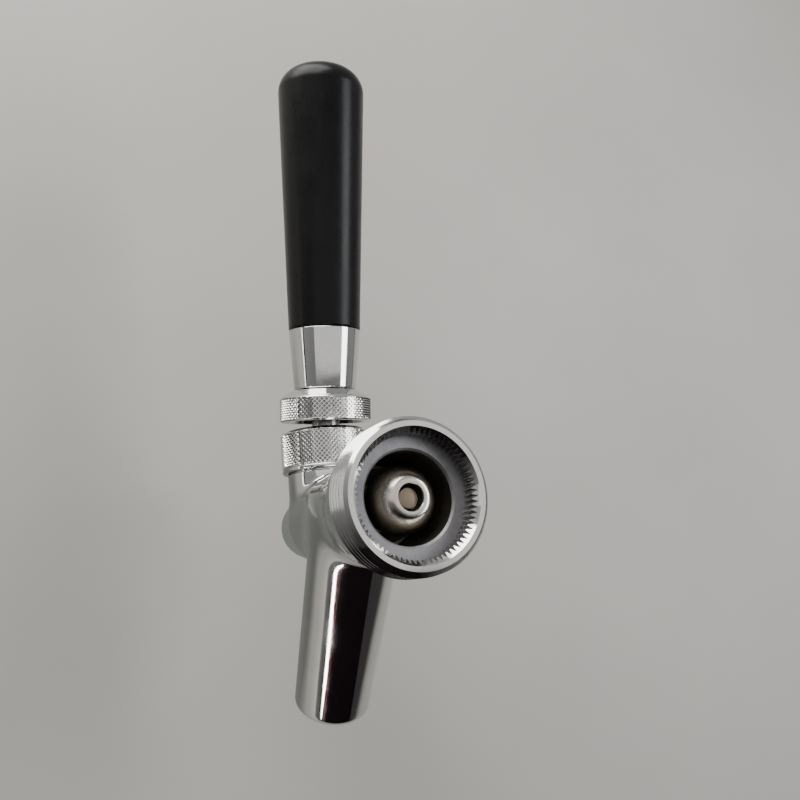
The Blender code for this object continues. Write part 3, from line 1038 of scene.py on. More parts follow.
@dataclass
class FaucetBody:
    """The one-piece casting with its thread, locking teeth and bores."""

    thread_radius: float = 14.2875
    thread_core: float = 13.42
    thread_pitch: float = 25.4 / 18
    thread_end: float = -7.6
    chamfer: float = 1.05
    relief_radius: float = 13.1
    tooth_count: int = 72
    tooth_crest: float = 11.15
    tooth_root: float = 11.95
    tooth_mouth: float = 12.3
    seat_depth: float = 4.0
    bore_radius: float = 8.65
    valve_seat: float = -18.4
    seat_groove: float = -19.8
    seat_ring: float = 6.4
    chamber_bore: float = 5.2
    guide_bore: float = 2.7
    guide_low: float = -62.5
    guide_high: float = -54.5
    lever_bore: float = 5.6
    washer_bore: float = 7.0
    washer_shelf: float = 7.3
    neck_radius: float = 8.75
    neck_shoulder: float = 10.9
    neck_plain: float = 8.4
    neck_top: float = 16.0
    spout_bore: float = 6.2
    spout_end: float = 46.0
    spout_end_radius: float = 8.15
    skin_reach: float = 0.004  # how near the cut mesh counts as the cast skin
    agreement: float = 0.93  # cosine between the mesh's and the form's direction on the skin

    def _rim(self) -> bpy.types.Object:
        """The plain core that carries the thread.

        Returns:
            The core, in place.
        """
        face = self.thread_radius - self.chamfer
        line = [(0, -9.0, 0), (self.relief_radius, -9.0, 0), (self.relief_radius, -7.75, 0)]
        line += [(self.thread_core, -7.5, 0), (self.thread_core, -0.2, 0.0), (face, 0, 0), (0, 0, 0)]
        return turned("rim", rounded(scaled(line), closed=False), Lay.INLET)

    def _neck_top(self) -> bpy.types.Object:
        """The neck above the casting's skin, with its shoulder and its plain end inside the bonnet.

        Returns:
            The neck, in place.
        """
        wide, plain, shoulder, top = self.neck_radius, self.neck_plain, self.neck_shoulder, self.neck_top
        line = [(0, 6, 0), (wide, 6, 0), (wide, shoulder, 0.25)]
        line += [(plain, shoulder, 0), (plain, top, 0.4), (0, top, 0)]
        return turned("neck_top", rounded(scaled(line), closed=False), Lay.NECK)

    def _spout_lip(self) -> bpy.types.Object:
        """The rolled lip at the spout's end.

        Returns:
            The lip, in place.
        """
        end = self.spout_end
        line = [(0, 42, 0), (8.285, 42, 0), (self.spout_end_radius, end, 1.3), (0, end, 0)]
        return turned("spout_lip", rounded(scaled(line), closed=False), Lay.SPOUT)

    def _cutters(self) -> list[bpy.types.Object]:
        """The shapes that hollow out the casting.

        Returns:
            Inlet recess, valve bore, neck bore and spout bore.
        """
        deep, bore = -self.seat_depth, self.bore_radius
        recess = [(0, -10, 0), (bore, -10, 0), (bore, deep - 0.4, 0), (bore + 0.4, deep, 0.0)]
        recess += [(self.tooth_root, deep, 0.0), (self.tooth_root, self.tooth_root - self.tooth_mouth, 0)]
        recess += [(self.tooth_mouth + 1, 1, 0), (0, 1, 0)]
        guide, chamber, ring = self.guide_bore, self.chamber_bore, self.seat_ring
        seat, groove = self.valve_seat, self.seat_groove
        valve = [(0, -63.85, 0), (guide, self.guide_low, 0), (guide, self.guide_high, 0)]
        valve += [(chamber, -53.25, 0), (chamber, seat, 0.15), (ring, seat, 0.15), (ring, groove, 0.4)]
        valve += [(bore, groove, 0.6), (bore, -9, 0), (0, -9, 0)]
        inner, wide, shelf = self.lever_bore, self.washer_bore, self.washer_shelf
        neck = [(0, 1, 0), (inner, 1, 0), (inner, shelf, 0.2), (wide, shelf, 0.3), (wide, 17, 0), (0, 17, 0)]
        way = self.spout_bore
        spout = [(0, 0, 0), (way, 0, 0), (way, 45.4, 0.5), (7.0, 46.2, 0), (7.0, 47, 0), (0, 47, 0)]
        shapes = (
            ("recess", recess, Lay.INLET),
            ("valve_bore", valve, Lay.INLET),
            ("neck_bore", neck, Lay.NECK),
            ("spout_bore", spout, Lay.SPOUT),
        )
        return [turned(name, rounded(scaled(line), closed=False), lay) for name, line, lay in shapes]

    def _thread(self, tree: ThreadTree, finish: bpy.types.Material) -> bpy.types.Object:
        """The outside thread, trimmed by the rim's chamfer and the relief behind it.

        Args:
            tree: what makes a screw thread.
            finish: its material.

        Returns:
            The thread, in place.
        """
        depth = (self.thread_radius - self.thread_core) * MM
        span = ((self.thread_end - 1.2) * MM, 1.2 * MM)
        thread = tree.apply("thread", self.thread_pitch * MM, depth, self.thread_core * MM, span, finish)
        face = self.thread_radius - self.chamfer
        inner, crest, end = 12.6, self.thread_radius + 0.01, self.thread_end
        blank = [(inner, end, 0), (self.thread_core, end, 0), (crest, end + 0.6, 0)]
        blank += [(crest, -self.chamfer, 0), (face + 0.01, -0.001, 0), (inner, -0.001, 0)]
        trim = turned("thread_blank", rounded(scaled(blank)), None)
        trim.data.materials.append(finish)
        boolean(thread, trim, "INTERSECT")
        thread.data.transform(Lay.INLET.matrix())
        return thread

    def _teeth(self, tree: RepeatTree, finish: bpy.types.Material) -> bpy.types.Object:
        """The locking teeth: wedges between the seat and the 45 degree mouth.

        Args:
            tree: what repeats a shape in rings.
            finish: their material.

        Returns:
            All teeth, in place.
        """
        root, crest, mouth = self.tooth_root, self.tooth_crest, self.tooth_mouth
        half = pi / self.tooth_count
        seed = bmesh.new()
        ring = []
        for radius, angle in ((root + 0.12, half * 0.97), (crest, half * 0.16)):
            foot = -self.seat_depth - 0.1
            top = radius - mouth
            for side in (-1, 1):
                x, y = radius * cos(angle * side), radius * sin(angle * side)
                ring.append([seed.verts.new((x * MM, y * MM, z * MM)) for z in (foot, top)])
        order = [ring[0], ring[1], ring[3], ring[2]]
        for k in range(4):
            a, b = order[k], order[(k + 1) % 4]
            seed.faces.new((a[0], b[0], b[1], a[1]))
        seed.faces.new([pair[0] for pair in order])
        seed.faces.new([pair[1] for pair in order])
        bmesh.ops.recalc_face_normals(seed, faces=seed.faces)
        tooth = mesh_from(seed, "teeth")
        return tree.apply(tooth, self.tooth_count, 1, (0.0, 0.0), finish, Lay.INLET)

    def _smooth(self, shell: bpy.types.Object, form: CastForm) -> None:
        """Shades the cast skin by the form's own directions, and every machined face by its mesh.

        Args:
            shell: the cut casting.
            form: the form that its skin follows.
        """
        mesh = shell.data
        mesh.set_sharp_from_angle(angle=SHARP)
        count = len(mesh.loops)
        own = np.empty(count * 3, np.float32)
        mesh.corner_normals.foreach_get("vector", own)
        own = own.reshape(-1, 3)
        at = np.empty(count, np.int32)
        mesh.loops.foreach_get("vertex_index", at)
        place = np.empty(len(mesh.vertices) * 3, np.float32)
        mesh.vertices.foreach_get("co", place)
        place = place.reshape(-1, 3).astype(float) / MM
        on_skin = np.abs(form.distance(place)) < self.skin_reach
        exact = np.zeros_like(place)
        exact[on_skin] = form.normals(place[on_skin])
        agree = on_skin[at] & ((own * exact[at]).sum(1) > self.agreement)
        own[agree] = exact[at][agree]
        mesh.normals_split_custom_set(own.tolist())

    def _dress(self, shell: bpy.types.Object, finishes: Finishes) -> None:
        """Chrome outside, a turned face at the seat, and dull walls in the bores.

        Args:
            shell: the cut casting.
            finishes: the tap's finishes.
        """
        shell.data.materials.clear()
        for finish in (finishes.chrome, finishes.seat_face, finishes.waterway):
            shell.data.materials.append(finish)
        for face in shell.data.polygons:
            spot = face.center
            if self._on_seat(spot / MM, face.normal):
                face.material_index = 1
            elif self._in_valve_bore(spot / MM, face.normal) or self._in_side_bore(spot / MM):
                face.material_index = 2
            else:
                face.material_index = 0

    def _on_seat(self, spot: Vector, normal: Vector) -> bool:
        """Whether a face at a place in millimetres belongs to the coupling's seat."""
        return spot.y > -4.5 and hypot(spot.x, spot.z) < 12.1 and normal.y > 0.6

    def _in_valve_bore(self, spot: Vector, normal: Vector) -> bool:
        """Whether a face belongs to the waterway along the barrel.

        Args:
            spot: its centre in millimetres.
            normal: the way that it faces.

        Returns:
            True for the bore's walls and steps.
        """
        radial = hypot(spot.x, spot.z)
        inward = normal.dot(Vector((spot.x, 0, spot.z))) < 0 or abs(normal.y) > 0.9
        long_enough = -63 < spot.y < -4.3 and (spot.y > -54 or radial < self.guide_bore + 0.1)
        return radial < self.bore_radius + 0.03 and inward and long_enough

    def _in_side_bore(self, spot: Vector) -> bool:
        """Whether a face belongs to the neck's or the spout's bore.

        Args:
            spot: its centre in millimetres.

        Returns:
            True for either bore.
        """
        along = Vector((0, -sin(SPOUT_LEAN), -cos(SPOUT_LEAN)))
        away = spot - SPOUT_START / MM
        run = away.dot(along)
        in_spout = 4 < run < 45.3 and (away - run * along).length < self.spout_bore + 0.1
        off_axis = hypot(spot.x, spot.y + AXIS_BACK)
        return in_spout or (off_axis < self.washer_bore + 0.2 and 3 < spot.z < self.neck_top - 0.1)

    def build(self, finishes: Finishes, repeat: RepeatTree, threads: ThreadTree) -> None:
        """Builds the whole casting as one piece, with the detail of its inlet.

        Args:
            finishes: the tap's finishes.
            repeat: what repeats a shape in rings.
            threads: what makes a screw thread.
        """
        form = CastForm()
        shell = form.mesh()
        for extra in (self._rim(), self._neck_top(), self._spout_lip()):
            boolean(shell, extra, "UNION")
        for cutter in self._cutters():
            boolean(shell, cutter, "DIFFERENCE")
        shell.data.shade_smooth()
        self._dress(shell, finishes)
        self._smooth(shell, form)
        cut = finishes.thread_chrome
        detail = merge("inlet_detail", [self._thread(threads, cut), self._teeth(repeat, cut)])
        weigh_normals(detail)
        settle(detail, "inlet_detail", Body.CASTING, Slot.CHROME)
        settle(shell, "casting", Body.CASTING, Slot.CHROME, "faucet_body")


# ---------------------------------------------------------------- knurled pieces


@dataclass
class Knurl:
    """A diamond knurl on a band: pitch round the piece, height above its grooves."""

    radius: float
    low: float
    high: float
    around: int = 60
    depth: float = KNURL_DEPTH
    rows: int = 14
    flat: float = 0.16
    fill: float = 0.985

    def _stud(self, core: float, step: float) -> bpy.types.Object:
        """One pointed stud at angle zero.

        Args:
            core: radius of its foot, below the grooves.
            step: height from one ring of studs to the next.

        Returns:
            The stud, about Z.
        """
        half_z = step * self.fill
        half_y = pi * self.radius / self.around * self.fill
        seed = bmesh.new()
        foot, top = [], []
        for side, up in ((0, -1), (1, 0), (0, 1), (-1, 0)):
            y, z = side * half_y, up * half_z
            foot.append(seed.verts.new((core * MM, y * MM, z * MM)))
            top.append(seed.verts.new((self.radius * MM, y * self.flat * MM, z * self.flat * MM)))
        for k in range(4):
            seed.faces.new((foot[k], foot[(k + 1) % 4], top[(k + 1) % 4], top[k]))
        seed.faces.new(top)
        seed.faces.new(foot[::-1])
        bmesh.ops.recalc_face_normals(seed, faces=seed.faces)
        return mesh_from(seed, "knurl")

    def build(self, tree: RepeatTree, finish: bpy.types.Material, lay: Lay) -> bpy.types.Object:
        """Repeats the stud in staggered rings, then trims the studs to the band.

        Args:
            tree: what repeats a shape in rings.
            finish: the knurl's material.
            lay: where the band's axis lies.

        Returns:
            The studs, flat-shaded.
        """
        step = (self.high - self.low) / (self.rows - 1)
        core = self.radius - self.depth - 0.12
        heights = (self.low * MM, step * MM)
        studs = tree.apply(self._stud(core, step), self.around, self.rows, heights, finish, lay)
        inner, outer = core - 0.05, self.radius + 0.2
        band = [(inner, self.low), (outer, self.low), (outer, self.high), (inner, self.high)]
        trim = turned("knurl_band", scaled(band), lay)
        trim.data.materials.append(finish)
        boolean(studs, trim, "INTERSECT")
        studs.data.shade_flat()
        return studs


@dataclass
class Bonnet:
    """The knurled cap that clamps the lever's ball."""

    radius: float = 10.0
    bottom: float = 11.2
    top: float = 20.35
    groove_low: float = 12.15
    groove_high: float = 12.4
    knurl_low: float = 12.55
    knurl_high: float = 19.55
    mouth: float = 6.6
    throat: float = 5.6
    ceiling: float = 17.3
    chamber: float = 7.0
    bore: float = 8.7

    def build(self, finishes: Finishes, repeat: RepeatTree) -> None:
        """Builds the cap's core and its knurl.

        Args:
            finishes: the tap's finishes.
            repeat: what repeats a shape in rings.
        """
        core = self.radius - KNURL_DEPTH
        chamfer = self.top - self.knurl_high
        line = [
            (self.bore, self.bottom, 0.1),
            (self.radius - 0.1, self.bottom, 0.3),
            (self.radius - 0.1, 12.0, 0.25),
            (self.radius - 0.6, self.groove_low, 0.1),
            (self.radius - 0.6, self.groove_high, 0.1),
            (core, self.knurl_low, 0),
            (core, self.knurl_high - 0.1, 0),
            (self.radius - 0.02, self.knurl_high, 0.1),
            (self.radius - chamfer * 0.95, self.top, 0.25),
            (self.mouth, self.top, 0.25),
            (self.throat, self.ceiling, 0.15),
            (self.chamber, self.ceiling, 0.1),
            (self.chamber, self.ceiling - 1, 0),
            (self.bore, self.ceiling - 1, 0),
        ]
        cap = turned_piece("cap", rounded(scaled(line)), Lay.NECK, finishes.chrome)
        knurl = Knurl(self.radius, self.knurl_low, self.knurl_high)
        studs = knurl.build(repeat, finishes.knurl_chrome, Lay.NECK)
        settle(studs, "bonnet_knurl", Body.CASTING, Slot.CHROME)
        settle(cap, "bonnet_cap", Body.CASTING, Slot.CHROME, "bonnet")


@dataclass
class LeverCollar:
    """The knurled lock collar below the handle, dished underneath."""

    radius: float = 10.35
    bottom: float = 9.9
    band_low: float = 10.25
    band_high: float = 14.95
    shoulder_foot: float = 15.45
    shoulder_top: float = 16.9
    shoulder_radius: float = 7.6
    bore: float = 5.05
    dish_mouth: float = 8.6
    dish_depth: float = 2.6
    dish_radius: float = 7.6

    def build(self, finishes: Finishes, repeat: RepeatTree) -> None:
        """Builds the collar's core and its knurl.

        Args:
            finishes: the tap's finishes.
            repeat: what repeats a shape in rings.
        """
        core = self.radius - KNURL_DEPTH
        line = [
            (self.dish_mouth, self.bottom, 0.1),
            (self.radius - 0.3, self.bottom, 0.12),
            (self.radius - 0.02, self.band_low, 0.05),
            (core, self.band_low + 0.1, 0),
            (core, self.band_high - 0.1, 0),
            (self.radius - 0.02, self.band_high, 0.05),
            (self.radius - 0.5, self.shoulder_foot, 0.3),
            (self.shoulder_radius, self.shoulder_top, 0.25),
            (self.bore, self.shoulder_top, 0.1),
            (self.bore, self.bottom + self.dish_depth, 0.1),
            (self.dish_radius, self.bottom + self.dish_depth, 0.3),
        ]
        ring = turned_piece("ring", rounded(scaled(line)), Lay.LEVER, finishes.chrome)
        knurl = Knurl(self.radius, self.band_low, self.band_high, rows=10)
        studs = knurl.build(repeat, finishes.knurl_chrome, Lay.LEVER)
        settle(studs, "collar_knurl", Body.LEVER, Slot.CHROME)
        settle(ring, "collar", Body.LEVER, Slot.CHROME, "lever_collar")


# ---------------------------------------------------------------- lever and handle


@dataclass
class Lever:
    """The lever: tip, shank, ball, stem and threaded stud in one."""

    ball: float = 6.35
    arm: float = 9.2
    tip: float = 1.7
    neck: float = 1.3
    neck_end: float = -7.4
    shank: float = 2.2
    shank_end: float = -6.6
    stem: float = 3.2
    stud: float = 4.55
    pitch: float = 25.4 / 16
    thread_depth: float = 0.8
    foot: float = 12.6
    top: float = 27.0

    def build(self, finishes: Finishes, threads: ThreadTree) -> None:
        """Builds the lever with its stud's thread.

        Args:
            finishes: the tap's finishes.
            threads: what makes a screw thread.
        """
        low, high = asin(self.shank / self.ball), asin(self.stem / self.ball)
        end = arc((0, -self.arm), self.tip, -pi / 2, pi / 2 - asin(self.neck / self.tip))
        end[0] = (0, end[0][1])
        core = self.stud - self.thread_depth
        line = end + [(self.neck, self.neck_end), (self.shank, self.shank_end)]
        line += arc((0, 0), self.ball, low - pi / 2, pi / 2 - high, radians(6))
        line += [(self.stem, self.foot - 1.2), (core, self.foot - 0.6), (core, self.top - 0.3)]
        line += [(core - 0.4, self.top), (0, self.top)]
        span = (self.foot * MM, (self.top - 0.9) * MM)
        sizes = (self.pitch * MM, self.thread_depth * MM, core * MM)
        # The lever wears the darker steel, painted shade for its stem in the collar's gap
        thread = threads.apply("stud_thread", *sizes, span, finishes.shaded_lever_steel)
        made = threaded_piece("lever_bar", scaled(line), Lay.LEVER, thread, finishes.shaded_lever_steel)
        settle(made, "lever_bar", Body.LEVER, Slot.STEEL, "lever")


@dataclass
class Handle:
    """The handle: chromed ferrule, hanger bolt, threaded insert and tapered grip."""

    ferrule_low: float = 17.2
    ferrule_top: float = 30.8
    ferrule_bottom_radius: float = 7.05
    ferrule_top_radius: float = 8.2
    stud_bore: float = 5.05
    bolt_bore: float = 4.25
    grip_low: float = 31.1
    grip_wide: float = 10.05
    grip_shoulder: float = 87.4
    grip_top: float = 93.8
    corner: float = 5.4
    insert_bore: float = 6.5
    insert_radius: float = 6.2
    bolt_core: float = 3.2
    bolt_tip: float = 2.6
    bolt_pitch: float = 25.4 / 18
    bolt_depth: float = 0.7

    def ferrule(self, finishes: Finishes) -> None:
        """The polished cone under the grip.

        Args:
            finishes: the tap's finishes.
        """
        line = [
            (self.stud_bore, self.ferrule_low, 0.1),
            (self.ferrule_bottom_radius, self.ferrule_low, 0.4),
            (self.ferrule_top_radius, self.ferrule_top, 0.18),
            (self.bolt_bore, self.ferrule_top, 0),
            (self.bolt_bore, 27.3, 0),
            (self.stud_bore, 27.3, 0),
        ]
        cone = turned_piece("cone", rounded(scaled(line)), Lay.LEVER, finishes.chrome)
        settle(cone, "ferrule", Body.LEVER, Slot.CHROME, "handle_ferrule")

    def grip(self, finishes: Finishes) -> None:
        """The tapered black grip with its rounded top.

        Args:
            finishes: the tap's finishes.
        """
        run = self.grip_wide - self.corner
        rise = self.grip_top - self.grip_shoulder - self.corner
        foot, low = self.ferrule_top_radius, self.grip_low
        line = [(0, 50.0), (self.bolt_bore, 47.0), (self.bolt_bore, 44.3), (self.insert_bore, 44.3)]
        line += [(self.insert_bore, low), (foot - 0.2, low), (foot, low + 0.2), (foot + 0.03, low + 1.0)]
        line += arc((run, self.grip_shoulder), self.corner, 0, pi / 2 - 0.18, radians(6))
        line += [(run * (1 - k / 10), self.grip_top - rise * (1 - k / 10) ** 2) for k in range(1, 11)]
        shell = turned_piece("shell", scaled(line), Lay.LEVER, finishes.plastic)
        settle(shell, "grip", Body.LEVER, Slot.PLASTIC, "handle_grip")

    def inside(self, finishes: Finishes, threads: ThreadTree) -> None:
        """The hanger bolt and the brass insert.

        Args:
            finishes: the tap's finishes.
            threads: what makes a screw thread.
        """
        core, bore, wide, tip = self.bolt_core, self.bolt_bore, self.insert_radius, self.bolt_tip
        line = [(0, 27.6, 0), (tip, 27.6, 0), (core, 28.3, 0), (core, 45.2, 0), (tip, 46.0, 0), (0, 46.0, 0)]
        sizes = (self.bolt_pitch * MM, self.bolt_depth * MM, core * MM)
        thread = threads.apply("bolt_thread", *sizes, (28.9 * MM, 44.9 * MM), finishes.zinc)
        outline = rounded(scaled(line), closed=False)
        bolt = threaded_piece("bolt", outline, Lay.LEVER, thread, finishes.zinc)
        settle(bolt, "handle_bolt", Body.LEVER, Slot.ZINC, "hanger_bolt")
        low, top = self.grip_low, 44.0
        sleeve = [(bore, low, 0.2), (wide, low, 0.3), (wide, top - 1, 0), (wide - 1, top, 0), (bore, top, 0)]
        insert = turned_piece("sleeve", rounded(scaled(sleeve)), Lay.LEVER, finishes.brass, SMALL_FACETS)
        settle(insert, "grip_insert", Body.LEVER, Slot.BRASS, "handle_insert")


# ---------------------------------------------------------------- valve


@dataclass
class Valve:
    """The sliding shaft with its washers and the ball-shaped nut in the inlet."""

    nut_radius: float = 6.5
    nut_depth: float = 8.75
    nut_front: float = -13.5
    rim_radius: float = 3.45
    rim_depth: float = 3.3
    recess_radius: float = 2.5
    bore: float = 2.23
    groove: float = -48.01
    guide_end: float = -61.0
    guide: float = 2.4
    flange: float = 4.8
    waist: float = 1.5
    rod: float = 3.0
    rod_end: float = -18.4
    stud_core: float = 1.6
    stud: float = 1.93
    stud_end: float = -4.6
    pitch: float = 0.7

    def shaft(self, finishes: Finishes, threads: ThreadTree) -> None:
        """The turned shaft: guide, two flanges round the lever's groove, rod and threaded stud.

        Args:
            finishes: the tap's finishes.
            threads: what makes a screw thread.
        """
        front, back = self.groove - 2.0, self.groove + 2.0
        line = [
            (0, self.guide_end, 0),
            (self.guide, self.guide_end, 0.6),
            (self.guide, front - 2, 0.2),
            (self.flange, front - 2, 0.2),
            (self.flange, front, 0.2),
            (self.waist, front, 0.2),
            (self.waist, back, 0.2),
            (self.flange, back, 0.2),
            (self.flange, back + 2, 0.2),
            (self.rod, back + 3, 0.2),
            (self.rod, self.rod_end, 0.1),
            (self.stud_core, self.rod_end, 0.1),
            (self.stud_core, -6.6, 0.0),
            (self.stud, -6.3, 0.0),
            (self.stud, self.stud_end, 0.18),
            (0, self.stud_end, 0),
        ]
        span = (-17.9 * MM, -6.6 * MM)
        sizes = (self.pitch * MM, 0.33 * MM, self.stud_core * MM)
        thread = threads.apply("stem_thread", *sizes, span, finishes.brass)
        outline = rounded(scaled(line), closed=False)
        made = threaded_piece("shaft", outline, Lay.INLET, thread, finishes.brass)
        settle(made, "shaft", Body.VALVE, Slot.BRASS, "valve_shaft")

    def nut(self, finishes: Finishes) -> None:
        """The polished ball-shaped nut with its recessed end.

        Args:
            finishes: the tap's finishes.
        """
        rim, edge, recess, wide = self.rim_radius, self.rim_depth, self.recess_radius, self.nut_radius
        low = asin((self.nut_front + self.nut_depth) / wide)
        high = asin(sqrt(wide**2 - rim**2) / wide)
        line = [(self.bore, self.nut_front)]
        line += arc((0, -self.nut_depth), wide, low, high - 0.02, radians(5))
        line += [(rim - 0.12, -edge + 0.02), (rim - 0.3, -edge + 0.06)]
        line += [(recess + 0.12, -edge + 0.03), (recess, -edge - 0.1)]
        line += [(recess, -5.7), (recess - 0.1, -5.9), (self.bore, -6.0)]
        ball = turned_piece("nut", scaled(line), Lay.INLET, finishes.steel)
        settle(ball, "shaft_ball_nut", Body.VALVE, Slot.STEEL, "shaft_nut")

    def washers(self, finishes: Finishes) -> None:
        """The rubber seat washer and the steel washer that backs it.

        Args:
            finishes: the tap's finishes.
        """
        bore = self.bore
        seat = [(bore, -18.1, 0.2), (7.2, -18.1, 0.4), (7.2, -15.1, 0.4), (bore, -15.1, 0.2)]
        soft = turned_piece("soft", rounded(scaled(seat)), Lay.INLET, finishes.rubber)
        settle(soft, "rubber_seat_washer", Body.VALVE, Slot.RUBBER, "seat_washer")
        back = [(bore, -14.8, 0.1), (5.5, -14.8, 0.15), (5.5, -13.8, 0.15), (bore, -13.8, 0.1)]
        plate = turned_piece("plate", rounded(scaled(back)), Lay.INLET, finishes.steel)
        settle(plate, "steel_washer", Body.VALVE, Slot.STEEL, "backing_washer")


# ---------------------------------------------------------------- stage


@dataclass
class Stage:
    """Camera, pale surface behind the tap, soft lights and cards for its reflections."""

    camera_place: tuple[float, float, float] = (0.0627, 0.1284, -0.0149)
    right: tuple[float, float, float] = (-0.90911, 0.40802, -0.08391)
    up: tuple[float, float, float] = (0.0151, 0.23358, 0.97222)
    back: tuple[float, float, float] = (0.41628, 0.88259, -0.21852)
    lens: float = 36.9
    wall_place: float = -0.093
    wall_size: float = 2.4
    shade_place: tuple[float, float] = (0.026, -0.012)
    shade_radius: float = 0.075
    middle: tuple[float, float, float] = (0, -0.04, 0)

    def _camera(self) -> None:
        """Puts the camera at the tap's viewing angle."""
        data = bpy.data.cameras.new("view")
        data.lens = self.lens
        data.sensor_width = 36.0
        data.clip_start = 0.005
        data.clip_end = 50
        camera = bpy.data.objects.new("view", data)
        bpy.context.scene.collection.objects.link(camera)
        columns = zip(self.right, self.up, self.back)
        turn = Matrix([[*row] for row in columns]).to_4x4()
        camera.matrix_world = Matrix.Translation(self.camera_place) @ turn
        bpy.context.scene.camera = camera

    def _card(self, name: str, place: Vector, look: Vector, size: tuple[float, float]) -> bpy.types.Object:
        """A flat card that faces a point.

        Args:
            name: the object's name.
            place: centre of the card.
            look: the point that it faces.
            size: width and height.

        Returns:
            The card.
        """
        shape = bmesh.new()
        bmesh.ops.create_grid(shape, x_segments=1, y_segments=1, size=0.5)
        turn = (look - place).to_track_quat("Z", "Y").to_matrix().to_4x4()
        lay = Matrix.Translation(place) @ turn @ Matrix.Diagonal((*size, 1, 1))
        card = mesh_from(shape, name, lay)
        return card

    def _reflect_only(self, card: bpy.types.Object, finish: bpy.types.Material) -> None:
        """Dresses a card and hides it from all but reflections.

        Args:
            card: the card.
            finish: its material.
        """
        card.data.materials.append(finish)
        card.visible_camera = False
        card.visible_shadow = False
        card.visible_diffuse = False

    def _wall(self) -> None:
        """The pale surface, which shows only its front."""
        place, look = Vector((0, self.wall_place, 0)), Vector((0, 1, 0))
        wall = self._card("pale_surface", place, look, (self.wall_size, self.wall_size))
        made, graph = new_finish("pale_surface")
        tone = graph.ramp(graph.noise(graph.place(), 9, 4, 0.55), 0.3, 0.7)
        colour = graph.mix(tone, (0.365, 0.35, 0.327), (0.405, 0.39, 0.365))
        shader = graph.node("ShaderNodeBsdfPrincipled", inputs={"Base Color": colour, "Roughness": 0.7})
        clear = graph.node("ShaderNodeBsdfTransparent")
        behind = graph.node("ShaderNodeNewGeometry", out="Backfacing")
        mixed = graph.node("ShaderNodeMixShader", inputs={0: behind, 1: shader, 2: clear})
        graph.node("ShaderNodeOutputMaterial", inputs={"Surface": mixed})
        wall.data.materials.append(made)

    def _reflector(self, name: str, place: Vector, size: tuple[float, float], tone: Colour) -> None:
        """A card that faces the tap and that only reflections see.

        Args:
            name: name of the card and its material.
            place: centre of the card.
            size: width and height.
            tone: its colour.
        """
        card = self._card(name, place, Vector(self.middle), size)
        made, graph = new_finish(name)
        cloud = graph.noise(graph.place(), 20, 2)
        colour = graph.mix(cloud, tone, tuple(c * 0.5 for c in tone))
        graph.surface(Base_Color=colour, Roughness=0.9, Specular_IOR_Level=0.0)
        self._reflect_only(card, made)

    def _shade(self) -> None:
        """A soft dark patch close behind the tap, which only reflections see."""
        radius = self.shade_radius
        place = Vector((self.shade_place[0], self.wall_place + 0.0012, self.shade_place[1]))
        card = self._card("shade_behind", place, place + Vector((0, 1, 0)), (2 * radius, 2 * radius))
        made, graph = new_finish("shade_behind")
        here = graph.node("ShaderNodeTexCoord", out="Object")
        values = {"Vector": here, "Location": tuple(-place / radius), "Scale": (1 / radius,) * 3}
        centred = graph.node("ShaderNodeMapping", inputs=values)
        settings = {"gradient_type": "SPHERICAL"}
        fade = graph.node("ShaderNodeTexGradient", settings, {"Vector": centred}, out="Fac")
        colour = graph.mix(graph.ramp(fade, 0.0, 0.55), (0.42, 0.405, 0.375), (0.17, 0.175, 0.165))
        graph.surface(Base_Color=colour, Roughness=0.9, Specular_IOR_Level=0.0)
        self._reflect_only(card, made)

    def _light(
        self, name: str, place: Vector, size: tuple[float, float], power: float, colour: Colour
    ) -> None:
        """A soft rectangular light that faces the tap.

        Args:
            name: the light's name.
            place: its centre.
            size: width and height.
            power: its power in watts.
            colour: the colour of its light.
        """
        data = bpy.data.lights.new(name, "AREA")
        data.shape = "RECTANGLE"
        data.size, data.size_y = size
        data.energy = power
        data.color = colour
        lamp = bpy.data.objects.new(name, data)
        bpy.context.scene.collection.objects.link(lamp)
        lamp.location = place
        lamp.rotation_mode = "QUATERNION"
        lamp.rotation_quaternion = (Vector((0, -0.04, 0.02)) - place).to_track_quat("-Z", "Y")

    def _world(self) -> None:
        """A pale grey room, brighter above, with a plain tone where the camera sees it."""
        world = bpy.data.worlds.new("room")
        bpy.context.scene.world = world
        world.use_nodes = True
        graph = Graph(world.node_tree)
        way = graph.node("ShaderNodeTexCoord", out="Generated")
        height = graph.node("ShaderNodeSeparateXYZ", inputs={0: way}, out="Z")
        rise = graph.ramp(height, -0.55, 0.5)
        colour = graph.mix(rise, (0.06, 0.056, 0.055), (0.56, 0.56, 0.555))
        light = graph.node("ShaderNodeBackground", inputs={"Color": colour, "Strength": 0.9})
        values = {"Color": (0.52, 0.515, 0.50, 1), "Strength": 1.0}
        plain = graph.node("ShaderNodeBackground", inputs=values)
        seen = graph.node("ShaderNodeLightPath", out="Is Camera Ray")
        both = graph.node("ShaderNodeMixShader", inputs={0: seen, 1: light, 2: plain})
        graph.node("ShaderNodeOutputWorld", inputs={"Surface": both})

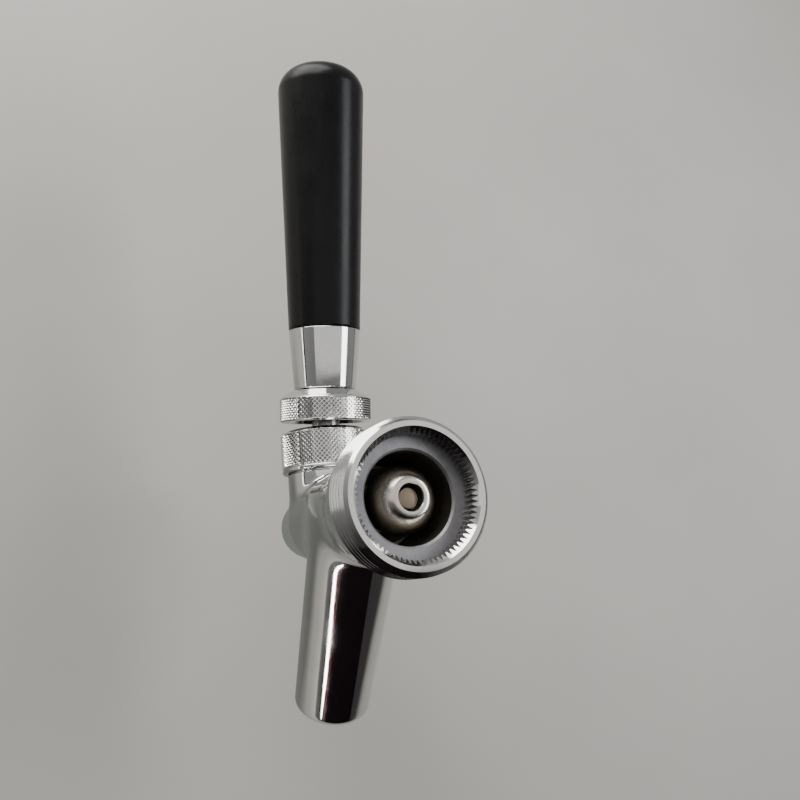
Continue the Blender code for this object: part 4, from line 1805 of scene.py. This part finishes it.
    def build(self) -> None:
        """Builds the whole stage."""
        self._camera()
        self._wall()
        self._world()
        eye = Vector(self.camera_place)
        side, rise, away = Vector(self.right), Vector(self.up), Vector(self.back)
        low = eye + away * 0.02 - rise * 0.26
        left = eye - side * 0.34 - away * 0.06 + rise * 0.05
        self._reflector("dark_low", low + side * 0.047, (0.394, 0.36), (0.010, 0.006, 0.008))
        self._reflector("red_low", low - side * 0.172, (0.028, 0.36), (0.16, 0.012, 0.022))
        self._shade()
        self._reflector("dark_left", left, (0.035, 0.5), (0.02, 0.02, 0.02))
        white, cool = (1.0, 0.99, 0.97), (0.94, 0.97, 1.0)
        self._light("top_soft", eye * 0.4 + rise * 0.42 - side * 0.16, (0.5, 0.35), 4.6, white)
        self._light("right_soft", eye * 0.5 + side * 0.42 + rise * 0.1, (0.16, 0.4), 1.6, cool)
        self._light("left_soft", eye * 0.5 - side * 0.45 + rise * 0.02, (0.14, 0.36), 0.9, white)
        self._light("low_strip", low - side * 0.225, (0.03, 0.3), 0.5, white)
        self._light("brow_soft", eye + rise * 0.065 + side * 0.05, (0.46, 0.11), 0.11, white)


# ---------------------------------------------------------------- all of it


def dress_washers(finishes: Finishes) -> None:
    """Gives the two nylon washers inside the neck, which stay as CAD nodes, their finish.

    Args:
        finishes: the tap's finishes.
    """
    for name in ("ball_washer", "friction_washer"):
        slots = frame["nodes"][name].data.materials
        slots.clear()
        slots.append(finishes.nylon)
        log.info("%s: CAD node, nylon", name)


def main() -> None:
    """Builds the stage, then every sub-assembly in order."""
    logging.basicConfig(level=logging.INFO, format="%(name)s: %(message)s")
    Stage().build()
    finishes = Finishes()
    repeat, threads = RepeatTree(), ThreadTree()
    FaucetBody().build(finishes, repeat, threads)
    Bonnet().build(finishes, repeat)
    LeverCollar().build(finishes, repeat)
    Lever().build(finishes, threads)
    handle = Handle()
    handle.ferrule(finishes)
    handle.grip(finishes)
    handle.inside(finishes, threads)
    valve = Valve()
    valve.shaft(finishes, threads)
    valve.nut(finishes)
    valve.washers(finishes)
    dress_washers(finishes)


if __name__ == "__main__":
    main()
